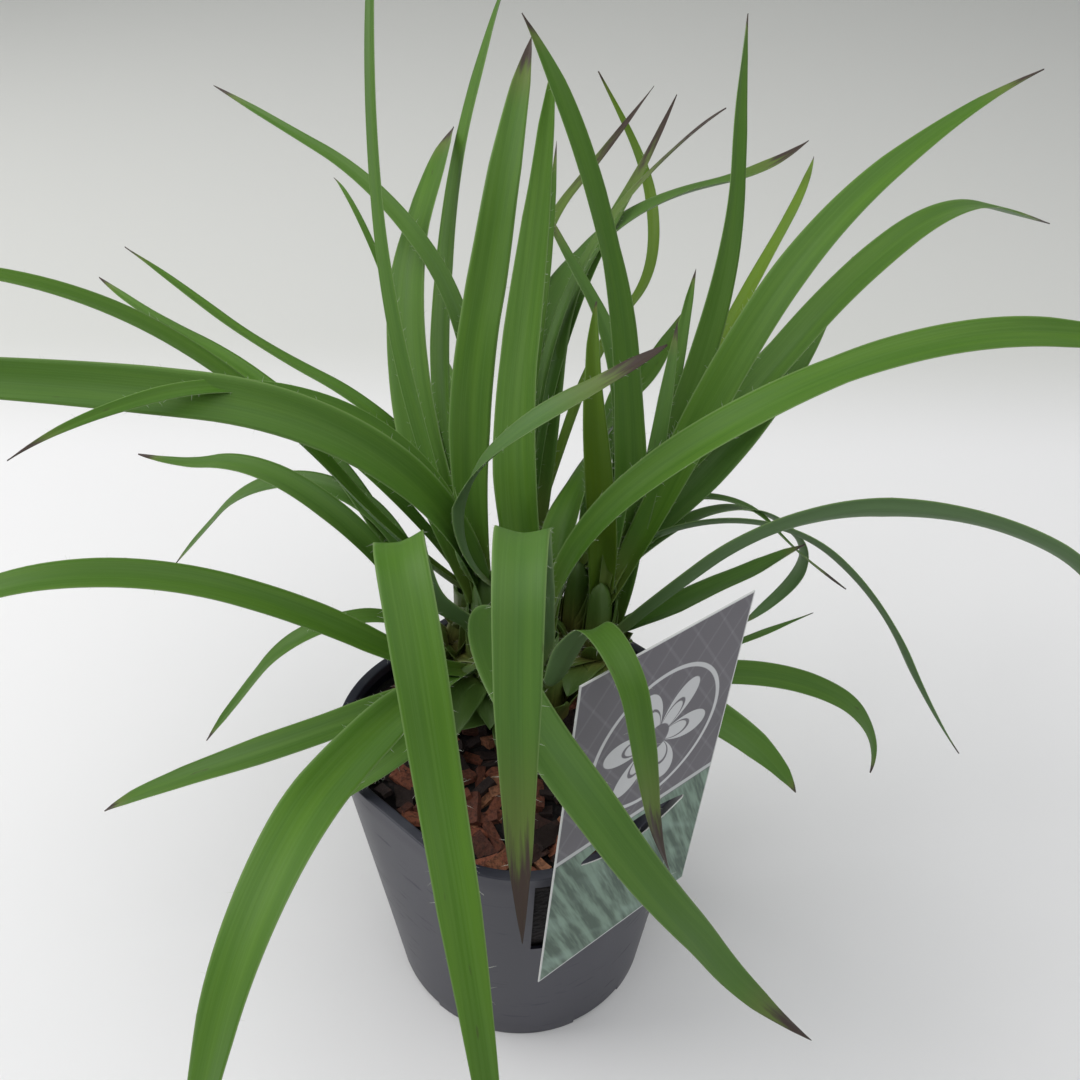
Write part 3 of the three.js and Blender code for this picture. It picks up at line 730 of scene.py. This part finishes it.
def make_pot(plastic):
    edge = POT_EDGE
    lip_bottom = POT_HEIGHT - LIP_HEIGHT
    walls = [(z, 0) for z in np.linspace(WALL_FROM, POT_HEIGHT - WALL_SHORT_OF_RIM, WALL_RINGS)]
    inner = [(z, POT_WALL) for z in np.linspace(lip_bottom - 2 * MM, POT_FLOOR + 2 * edge, INNER_RINGS)]
    profile = [
        (0, 2 * edge),
        *arc_profile((edge, edge), edge, -90, 0),
        *walls,
        *arc_profile((POT_HEIGHT - edge, edge), edge, 0, 90),
        *arc_profile((POT_HEIGHT - edge, LIP_WIDTH - edge), edge, 90, 180),
        (lip_bottom, LIP_WIDTH),
        (lip_bottom - edge, POT_WALL + edge),
        *inner,
        (POT_FLOOR, POT_WALL + edge),
    ]
    pot = loft("pot_shell", profile, POT_FACETS, plastic)
    cutters = []
    outer, middle = GROOVE_STEPS
    for i in range(GROOVE_COUNT):
        heading = GROOVE_TURN + 360 * i / GROOVE_COUNT
        low, high = heading - GROOVE_SPAN / 2, heading + GROOVE_SPAN / 2
        outline = ring_points(GROOVE_REACH, low, high, outer)
        outline += ring_points(FOOT_DISC_RADIUS, high, low, middle)
        cutters.append(cutter("groove_cutter", outline, -CUT_MARGIN, GROOVE_HEIGHT))
        for reach in DRAIN_AT:
            turn = math.radians(heading)
            centre = (reach * math.cos(turn), reach * math.sin(turn))
            outline = ring_points(DRAIN_RADIUS, 0, 360, DRAIN_FACETS + 1, centre)[:-1]
            cutters.append(cutter("drain_cutter", outline, -CUT_MARGIN, POT_FLOOR + CUT_MARGIN))
    half = SLOT_WIDTH / 2
    near, far = SLOT_REACHES
    turn = Matrix.Rotation(math.radians(SLOT_HEADING), 2)
    corners = [turn @ Vector(c) for c in ((near, -half), (far, -half), (far, half), (near, half))]
    cutters.append(cutter("slot_cutter", [tuple(c) for c in corners], SLOT_BOTTOM, SLOT_TOP))
    for tool in cutters:
        hole = pot.modifiers.new(tool.name, "BOOLEAN")
        hole.operation, hole.solver, hole.object = "DIFFERENCE", "EXACT", tool
    baked(pot)
    discard(*cutters)
    pot.data.set_sharp_from_angle(angle=math.radians(POT_CREASE))
    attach(pot, "root")
    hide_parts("pot")


# Bark mulch


class Recipe:
    """A Geometry Nodes tree under construction, with named inputs."""

    def __init__(self, name):
        self.tree = bpy.data.node_groups.new(name, "GeometryNodeTree")
        self.tree.interface.new_socket("Geometry", in_out="INPUT", socket_type="NodeSocketGeometry")
        self.tree.interface.new_socket("Geometry", in_out="OUTPUT", socket_type="NodeSocketGeometry")
        self.source = None
        self.sizes = {}

    def size(self, name, value, kind="Float"):
        socket = self.tree.interface.new_socket(name, in_out="INPUT", socket_type=f"NodeSocket{kind}")
        self.sizes[socket.identifier] = value

    def begin(self):
        self.source = self.tree.nodes.new("NodeGroupInput")
        return self.source.outputs["Geometry"]

    def add(self, kind, settings=None, values=None):
        """Adds a node; a value that is a string names one of the recipe's sizes."""
        made = self.tree.nodes.new(kind)
        for name, setting in (settings or {}).items():
            setattr(made, name, setting)
        for name, value in (values or {}).items():
            if isinstance(value, str):
                value = self.source.outputs[value]
            if isinstance(value, bpy.types.NodeSocket):
                self.tree.links.new(value, made.inputs[name])
            else:
                made.inputs[name].default_value = value
        return made.outputs

    def text(self, words):
        return self.add("FunctionNodeInputString", {"string": words})[0]

    def spread(self, low, high, seed):
        """A random vector between two, one for each spot."""
        values = {0: low, 1: high, "Seed": seed}
        return self.add("FunctionNodeRandomValue", {"data_type": "FLOAT_VECTOR"}, values)[0]

    def moved(self, geometry, offset):
        return self.add("GeometryNodeSetPosition", None, {"Geometry": geometry, "Offset": offset})[0]

    def copies(self, spots, shape, turn, scale):
        """The shape laid on every spot, with its own turn and scale."""
        values = {"Points": spots, "Instance": shape, "Rotation": turn, "Scale": scale}
        return self.add("GeometryNodeInstanceOnPoints", None, values)[0]

    def end(self, geometry, material):
        solid = self.add("GeometryNodeRealizeInstances", None, {"Geometry": geometry})[0]
        painted = self.add("GeometryNodeSetMaterial", None, {"Geometry": solid, "Material": material})[0]
        sink = self.tree.nodes.new("NodeGroupOutput")
        self.tree.links.new(painted, sink.inputs[0])

    def run(self, piece):
        """Applies the tree to a piece and leaves a plain mesh."""
        modifier = piece.modifiers.new(self.tree.name, "NODES")
        modifier.node_group = self.tree
        for identifier, value in self.sizes.items():
            modifier[identifier] = value
        return baked(piece)


def chip_recipe(bark):
    """Splinters of bark laid on a sheet, each turned, tilted and stretched at random and roughened."""
    recipe = Recipe("bark_chips")
    recipe.size("Spacing", CHIP_SPACING)
    recipe.size("Chip", CHIP_SIZE, "Vector")
    recipe.size("Roughness", CHIP_ROUGHNESS)
    recipe.size("Density", CHIP_DENSITY)
    recipe.size("Seed", CHIP_SEED, "Int")
    sheet = recipe.begin()
    spots = recipe.add(
        "GeometryNodeDistributePointsOnFaces",
        {"distribute_method": "POISSON"},
        {"Mesh": sheet, "Distance Min": "Spacing", "Density Max": "Density", "Seed": "Seed"},
    )[0]
    block = recipe.add("GeometryNodeMeshCube", None, {"Size": "Chip", **CHIP_CUTS})[0]
    turn = recipe.spread((-CHIP_TILT, -CHIP_TILT, 0.0), (CHIP_TILT, CHIP_TILT, FULL_TURN), 1)
    stretch = recipe.spread(*CHIP_STRETCHES, 2)
    lift = recipe.spread((0, 0, CHIP_LIFTS[0]), (0, 0, CHIP_LIFTS[1]), 3)
    laid = recipe.copies(recipe.moved(spots, lift), block, turn, stretch)
    tone = recipe.add("FunctionNodeRandomValue", {"data_type": "FLOAT"}, {"Seed": 4})[1]
    toned = recipe.add(
        "GeometryNodeStoreNamedAttribute",
        {"data_type": "FLOAT", "domain": "INSTANCE"},
        {"Geometry": laid, "Name": recipe.text("chip_tone"), "Value": tone},
    )[0]
    solid = recipe.add("GeometryNodeRealizeInstances", None, {"Geometry": toned})[0]
    where = recipe.add("GeometryNodeInputPosition")[0]
    noise = recipe.add("ShaderNodeTexNoise", None, {"Vector": where, "Scale": 330.0, "Detail": 2.0})[1]
    centred = recipe.add("ShaderNodeVectorMath", {"operation": "SUBTRACT"}, {0: noise, 1: (0.5, 0.5, 0.5)})[0]
    push = recipe.add("ShaderNodeVectorMath", {"operation": "SCALE"}, {0: centred, "Scale": "Roughness"})[0]
    recipe.end(recipe.moved(solid, push), bark)
    return recipe


def make_mulch(bark, soil_look):
    inset = POT_WALL + MULCH_GAP
    bed = loft("mulch_bed", [(MULCH_BASE, inset), (MULCH_TOP, inset)], MULCH_FACETS, soil_look)
    outline = pot_ring(MULCH_TOP, POT_WALL + CHIP_MARGIN, MULCH_FACETS)
    sheet = mesh_piece("bark_chips", outline, [tuple(range(len(outline)))], smooth=False)
    chips = chip_recipe(bark).run(sheet)
    for piece in (bed, chips):
        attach(piece, "root")
        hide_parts("bark_mulch")


# Shoots


def facings(headings, rises, share):
    """The way ahead at shares of a blade's length."""
    heading, rise = np.radians(at_even(headings, share)), np.radians(at_even(rises, share))
    return np.stack([np.cos(rise) * np.cos(heading), np.cos(rise) * np.sin(heading), np.sin(rise)], 1)


def blade_frames(height, headings, rises, rolls, length):
    """Places along a blade's middle line and, at each, its right-hand side and its upper face."""
    fine = BLADE_STEPS * PATH_STEPS
    steps = facings(headings, rises, (np.arange(fine) + 0.5) / fine) * length / fine
    start = math.radians(headings[0])
    root = np.array([ROOT_OFFSET * math.cos(start), ROOT_OFFSET * math.sin(start), height])
    path = np.vstack([root, root + np.cumsum(steps, axis=0)])[::PATH_STEPS]
    share = np.linspace(0, 1, BLADE_STEPS + 1)
    heading = np.radians(at_even(headings, share))
    level = np.stack([np.sin(heading), -np.cos(heading), 0 * heading], 1)
    upward = np.cross(level, facings(headings, rises, share))
    roll = np.radians(at_even(rolls, share))[:, None]
    side = level * np.cos(roll) + upward * np.sin(roll)
    return path, share, side, upward * np.cos(roll) - level * np.sin(roll)


class Foliage:
    """Gathers the points, faces and values of a shoot's blades or sheaths."""

    def __init__(self):
        self.vertices, self.faces, self.flat = [], [], []
        self.values = {name: [] for name in LEAF_VALUES}
        self.margins = []
        self.count = 0

    def add(self, points, faces, flat, **values):
        self.vertices.append(points)
        self.faces += [tuple(self.count + i for i in face) for face in faces]
        self.flat.append(flat)
        for name, found in self.values.items():
            found.append(np.broadcast_to(values.get(name, 0.0), len(points)))
        self.count += len(points)

    def piece(self, name, *materials):
        made = mesh_piece(name, np.vstack(self.vertices), self.faces, *materials)
        set_flat_places(made, np.vstack(self.flat))
        for attribute, found in self.values.items():
            set_values(made, attribute, np.concatenate(found))
        return made


def add_blade(foliage, random, blade):
    """A thin closed blade with a rounded gutter, slightly waved margins and a fine tip."""
    height, headings, rises, rolls, length, width, brown, tone = blade
    path, share, side, up = blade_frames(height * MM, headings, rises, rolls, length * MM)
    across = np.linspace(-1, 1, BLADE_SPANS + 1)
    half = (width * MM / 2 * at_knots(WIDTH_KNOTS, share))[:, None]
    gutter = np.radians(at_knots(GUTTER_KNOTS, share))[:, None]
    phase, pace = random.uniform(*WAVE_PHASES), random.uniform(*WAVE_PACES)
    wave = WAVE_HEIGHT * np.sin(pace * share + phase)[:, None] * share.clip(*WAVE_SHARES)[:, None]
    out = across * half * np.cos(gutter)
    lift = np.abs(across) ** GUTTER_CURVE * half * np.sin(gutter) + wave * across * np.abs(across)
    full = at_knots(THICKNESS_KNOTS, share)[:, None]
    thick = MARGIN_THICKNESS + (full - MARGIN_THICKNESS) * (1 - across**MARGIN_THINNING)
    grid = path[:, None] + side[:, None] * out[..., None] + up[:, None] * lift[..., None]
    shift = up[:, None] * (thick / 2)[..., None]
    rows, columns = len(share), len(across)
    top, bottom = (grid + shift).reshape(-1, 3), (grid - shift).reshape(-1, 3)
    seed = random.uniform(*SEED_RANGE)
    flat = np.stack([out + seed * MM, share[:, None] * length * MM + 0 * out], 2).reshape(-1, 2)
    foliage.add(
        np.vstack([top, bottom]),
        shell_faces(rows, columns),
        np.vstack([flat, flat]),
        share=np.tile(np.repeat(share, columns), 2),
        edge=np.tile(np.abs(across), 2 * rows),
        under=np.repeat((0.0, 1.0), rows * columns),
        tone=tone + random.uniform(-TONE_SPREAD, TONE_SPREAD),
        brown=brown,
        seed=seed,
    )
    for sign in (-1, 1):
        column = 0 if sign < 0 else columns - 1
        foliage.margins.append((grid[:, column], side * sign, share))


def add_sheath(foliage, random, height, heading, rank):
    """The rolled base of a blade: a strip that wraps the stem from the soil to where the blade leaves it."""
    rows, columns = SHEATH_GRID
    share = np.linspace(0, 1, rows)[:, None]
    level = -STEM_SINK + share * (height + STEM_SINK + SHEATH_OVERLAP)
    turn = np.radians(heading + np.linspace(-1, 1, columns) * at_knots(SHEATH_WRAP_KNOTS, share))
    reach = stem_radius(level) + SHEATH_STANDOFF + SHEATH_LAYER * rank + SHEATH_FLARE * share**3
    both = np.vstack([round_points(reach, turn, level), round_points(reach - SHEATH_WALL, turn, level)])
    flat = np.stack([reach * turn, level + 0 * turn], 2).reshape(-1, 2)
    seed = random.uniform(*SEED_RANGE)
    foliage.add(both, shell_faces(rows, columns), np.vstack([flat, flat]), seed=seed)


def round_points(reach, turn, level):
    """Points round the shoot's own axis."""
    return np.stack([reach * np.cos(turn), reach * np.sin(turn), level + 0 * turn], 2).reshape(-1, 3)


def stem_radius(level, highest=STEM_REFERENCE):
    """Full up to the first shoulder, then drawn in towards the tip."""
    low, high = (share * highest for share in STEM_SHOULDERS)
    middle = (STEM_RADIUS + STEM_TIP_RADIUS) / 2
    return np.interp(level, (low, high, highest), (STEM_RADIUS, middle, STEM_TIP_RADIUS))


def add_stem(foliage, random, highest):
    """The heart of a shoot: the innermost sheaths, rolled tight, with soft ribs."""
    rows, columns = STEM_GRID
    share = np.linspace(0, 1, rows)[:, None]
    level = -STEM_SINK + share * (highest + STEM_SINK)
    turn = 2 * np.pi * np.arange(columns) / columns
    past = ((share - STEM_CLOSES_AT) / (1 - STEM_CLOSES_AT)).clip(0, 1)
    closing = STEM_CLOSES_TO + (1 - STEM_CLOSES_TO) * np.sqrt(1 - past**2)
    ribbed = STEM_RIB_MIDDLE + STEM_RIB_DEPTH * np.cos(STEM_RIBS * turn + 3 * share)
    points = round_points(stem_radius(level, highest) * ribbed * closing, turn, level)
    faces = sheet_faces(rows, columns, closed=True)
    faces += [tuple(reversed(range(columns))), tuple(range((rows - 1) * columns, rows * columns))]
    flat = np.stack([STEM_RADIUS * turn + 0 * level, level + 0 * turn], 2).reshape(-1, 2)
    foliage.add(points, faces, flat, seed=random.uniform(*SEED_RANGE))


def add_old_bases(foliage, random, node):
    """Short worn leaf bases that stand round the foot of a shoot, and longer ones that lie outwards."""
    for number in range(OLD_BASE_COUNT):
        heading = 360 * number / OLD_BASE_COUNT + random.uniform(-OLD_BASE_SPREAD, OLD_BASE_SPREAD)
        length = random.uniform(*OLD_BASE_LENGTHS)
        shape = (OLD_BASE_HEIGHT, [heading], OLD_BASE_RISES, [0], length, OLD_BASE_WIDTH)
        add_blade(foliage, random, shape + BASE_COLOUR)
    for heading, length in LOW_BASES.get(node, ()):
        shape = (LOW_BASE_HEIGHT, [heading], LOW_BASE_RISES, [0], length, LOW_BASE_WIDTH)
        add_blade(foliage, random, shape + BASE_COLOUR)


def hair_recipe(hair):
    """Hairs along margins: thin cones that stand out from a chain of points and lean at random."""
    recipe = Recipe("margin_hairs")
    recipe.size("Length", HAIR_LENGTH)
    recipe.size("Radius", HAIR_RADIUS)
    recipe.size("Tip", HAIR_TIP_RADIUS)
    recipe.size("Seed", HAIR_SEED, "Int")
    points = recipe.begin()
    shape = {"Radius Top": "Tip", "Radius Bottom": "Radius", "Depth": "Length"}
    cone = recipe.add(
        "GeometryNodeMeshCone",
        {"fill_type": "NONE"},
        {"Vertices": 3, "Side Segments": 2, **shape},
    )[0]
    outward = recipe.add(
        "GeometryNodeInputNamedAttribute",
        {"data_type": "FLOAT_VECTOR"},
        {"Name": recipe.text("outward")},
    )[0]
    aim = recipe.add("FunctionNodeAlignRotationToVector", {"axis": "Z"}, {"Vector": outward})[0]
    lean = recipe.spread((-HAIR_LEAN, -HAIR_LEAN, 0.0), (HAIR_LEAN, HAIR_LEAN, FULL_TURN), "Seed")
    leant = recipe.add("FunctionNodeEulerToRotation", None, {0: lean})[0]
    turned = recipe.add(
        "FunctionNodeRotateRotation",
        {"rotation_space": "LOCAL"},
        {"Rotation": aim, "Rotate By": leant},
    )[0]
    sizes = {2: HAIR_SIZES[0], 3: HAIR_SIZES[1], "Seed": 7}
    size = recipe.add("FunctionNodeRandomValue", {"data_type": "FLOAT"}, sizes)[1]
    recipe.end(recipe.copies(points, cone, turned, size), hair)
    return recipe


def make_hairs(name, margins, place, hair, random):
    """Hairs on a shoot's blade margins, thickest near the base."""
    roots, ways = [], []
    for path, outward, share in margins:
        for i in range(HAIR_ENDS[0], len(share) - HAIR_ENDS[1]):
            if random.random() < HAIR_CHANCE - HAIR_CHANCE_FALL * share[i]:
                slide = random.random()
                roots.append(path[i] * (1 - slide) + path[i + 1] * slide)
                ahead = unit(path[i + 1] - path[i])
                ways.append(unit(outward[i] + HAIR_AHEAD * ahead + HAIR_LIFT))
    hairs = mesh_piece(name, np.array(roots) + place, [])
    attribute = hairs.data.attributes.new("outward", "FLOAT_VECTOR", "POINT")
    attribute.data.foreach_set("vector", np.array(ways, dtype=np.float32).ravel())
    return hair_recipe(hair).run(hairs)


def make_shoot(node, place, blades, green, sheath, hair, number):
    random = np.random.default_rng(FIRST_SEED + number)
    foot = np.array([place[0] * MM, place[1] * MM, SOIL_LEVEL])
    leaves, base = Foliage(), Foliage()
    for blade in blades:
        add_blade(leaves, random, blade)
    add_stem(base, random, max(blade[0] for blade in blades) * MM + STEM_MARGIN)
    outermost = sorted(blades, key=lambda blade: -blade[0])
    for rank, blade in enumerate(outermost):
        add_sheath(base, random, blade[0] * MM, blade[1][0], rank % SHEATH_LAYERS)
    add_old_bases(base, random, node)
    for foliage in (leaves, base):
        foliage.vertices = [points + foot for points in foliage.vertices]
    hairs = make_hairs(node + "_hairs", leaves.margins, foot, hair, random)
    pieces = [leaves.piece(node + "_blades", green), base.piece(node + "_sheaths", sheath), hairs]
    for piece in pieces:
        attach(piece, "root")
        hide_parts(node)


# Label


def label_matrix():
    """The card's own frame: across and up in the plane of the card, out from the pot."""
    heading, lean, roll = (math.radians(a) for a in (LABEL_HEADING, LABEL_LEAN, LABEL_ROLL))
    level = Vector((-math.sin(heading), math.cos(heading), 0))
    away = Vector((math.cos(heading), math.sin(heading), 0))
    steep = Vector((0, 0, math.cos(lean))) + away * math.sin(lean)
    across = level * math.cos(roll) - steep * math.sin(roll)
    up = steep * math.cos(roll) + level * math.sin(roll)
    rise = (LABEL_CENTRE[1] - POT_HEIGHT) / math.cos(lean)
    centre = away * LABEL_REACH + level * LABEL_CENTRE[0] + steep * rise + Vector((0, 0, POT_HEIGHT))
    matrix = Matrix((across, up, across.cross(up))).transposed().to_4x4()
    matrix.translation = centre
    return matrix


def opening_outline():
    """The crescent opening's edge: a sagging lower side, a raised upper side and round ends."""
    (x, y), half, end = OPENING_CENTRE, OPENING_HALF, OPENING_END
    share = np.linspace(-1, 1, OPENING_STEPS)
    lower = [(x + half * s, y - end - OPENING_DIP * (1 - s * s)) for s in share]
    upper = [(x + half * s, y + end + OPENING_RISE * (1 - s * s)) for s in -share]
    right = ring_points(end, -90, 90, OPENING_END_STEPS, (x + half, y))[1:-1]
    left = ring_points(end, 90, 270, OPENING_END_STEPS, (x - half, y))[1:-1]
    return lower + right + upper + left


def card_mesh(printed, board):
    w, h = LABEL_WIDTH / 2, LABEL_HEIGHT / 2
    curve = bpy.data.curves.new("label_card", "CURVE")
    curve.dimensions, curve.fill_mode = "2D", "BOTH"
    curve.extrude = LABEL_THICKNESS / 2
    for outline in ([(-w, -h), (w, -h), (w, h), (-w, h)], opening_outline()):
        spline = curve.splines.new("POLY")
        spline.points.add(len(outline) - 1)
        for point, (x, y) in zip(spline.points, outline):
            point.co = (x, y, 0, 1)
        spline.use_cyclic_u = True
    flat = linked("label_flat", curve)
    mesh = bpy.data.meshes.new_from_object(flat.evaluated_get(bpy.context.evaluated_depsgraph_get()))
    discard(flat)
    mesh.materials.clear()
    mesh.materials.append(printed)
    mesh.materials.append(board)
    for polygon in mesh.polygons:
        polygon.use_smooth = False
        polygon.material_index = 0 if polygon.normal.z > 0.5 else 1
    return mesh


def add_tongue(mesh, flap_index):
    """The flap of the opening, bent back over the rim and down inside the pot."""
    shape = bmesh.new()
    shape.from_mesh(mesh)
    share = np.linspace(0, 1, TONGUE_STEPS + 1)
    fine = np.stack([at_even(column, share) for column in zip(*TONGUE_PATH)], 1) * MM
    along = unit(np.gradient(fine, axis=0))
    rows = []
    for done, (depth, height), (step_in, step_up) in zip(share, fine, along):
        reach = TONGUE_HALF * (1 - TONGUE_TAPER * done**2)
        row = []
        for side, face in ((-1, 1), (1, 1), (1, -1), (-1, -1)):
            half = face * LABEL_THICKNESS / 2
            x = OPENING_CENTRE[0] + side * reach
            y = OPENING_CENTRE[1] + height - half * step_in
            row.append(shape.verts.new((x, y, depth + half * step_up)))
        rows.append(row)
    for below, above in zip(rows, rows[1:]):
        for j in range(4):
            after = (j + 1) % 4
            shape.faces.new((below[j], below[after], above[after], above[j])).material_index = flap_index
    shape.faces.new(rows[0][::-1]).material_index = flap_index
    shape.faces.new(rows[-1]).material_index = flap_index
    bmesh.ops.recalc_face_normals(shape, faces=shape.faces[:])
    shape.to_mesh(mesh)
    shape.free()


def make_label(printed, board, flap):
    mesh = card_mesh(printed, board)
    mesh.materials.append(flap)
    add_tongue(mesh, 2)
    label = linked("plant_label", mesh)
    set_flat_places(label, [vertex.co.xy for vertex in mesh.vertices])
    mesh.transform(label_matrix())
    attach(label, "root")
    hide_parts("label")


# Stage


def make_stage(board):
    """A plain floor that turns up into a backdrop."""
    radius, back = BEND_RADIUS, FLOOR_BACK
    turns = np.radians(np.linspace(0, 90, 16))
    curve = [(back + radius * math.sin(t), radius * (1 - math.cos(t))) for t in turns]
    profile = [(FLOOR_FRONT, 0.0), *curve, (back + radius, BACKDROP_TOP)]
    vertices = [(x, y, z) for y, z in profile for x in (-FLOOR_HALF_WIDTH, FLOOR_HALF_WIDTH)]
    floor = mesh_piece("studio_floor", vertices, sheet_faces(len(profile), 2), board)


def area_light(name, place, target, size, power, colour):
    light = bpy.data.lights.new(name, "AREA")
    light.shape, light.size, light.energy, light.color = "SQUARE", size, power, colour
    lamp = linked(name, light)
    lamp.location = place
    lamp.rotation_euler = (Vector(target) - Vector(place)).to_track_quat("-Z", "Y").to_euler()


def make_light():
    for lamp in LAMPS:
        area_light(*lamp)
    world = bpy.data.worlds.new("room")
    world.use_nodes = True
    sky = world.node_tree.nodes["Background"]
    sky.inputs["Color"].default_value = SKY_COLOUR
    sky.inputs["Strength"].default_value = SKY_STRENGTH
    bpy.context.scene.world = world


def make_camera():
    camera = bpy.data.cameras.new("camera")
    camera.lens, camera.sensor_width = CAMERA_LENS, CAMERA_SENSOR
    camera.clip_start, camera.clip_end = CAMERA_CLIP
    eye = linked("camera", camera)
    tilt = Matrix.Rotation(math.radians(90 - CAMERA_PITCH), 4, "X")
    roll = Matrix.Rotation(math.radians(CAMERA_ROLL), 4, "Z")
    eye.matrix_world = Matrix.Translation(CAMERA_PLACE) @ tilt @ roll
    bpy.context.scene.camera = eye


bpy.context.scene.view_settings.view_transform = "Standard"
make_camera()
make_light()
make_stage(pale_board())

soil_look = potting_soil()
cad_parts["soil"].data.materials.clear()
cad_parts["soil"].data.materials.append(soil_look)
make_pot(pot_plastic())
make_mulch(bark_brown(), soil_look)
looks = (leaf_green(), sheath_green(), pale_hair())
for number, (node, place, blades) in enumerate(SHOOTS):
    make_shoot(node, place, blades, *looks, number)
board = plain_card("label_back", (0.5, 0.51, 0.5), (0.62, 0.63, 0.61))
# Painted shade: the flap is the same card as the label, coloured dark navy as the shaded recess behind the
# opening
flap = plain_card("label_flap_painted_shade", (0.022, 0.023, 0.036), (0.034, 0.035, 0.05))
make_label(label_print(), board, flap)
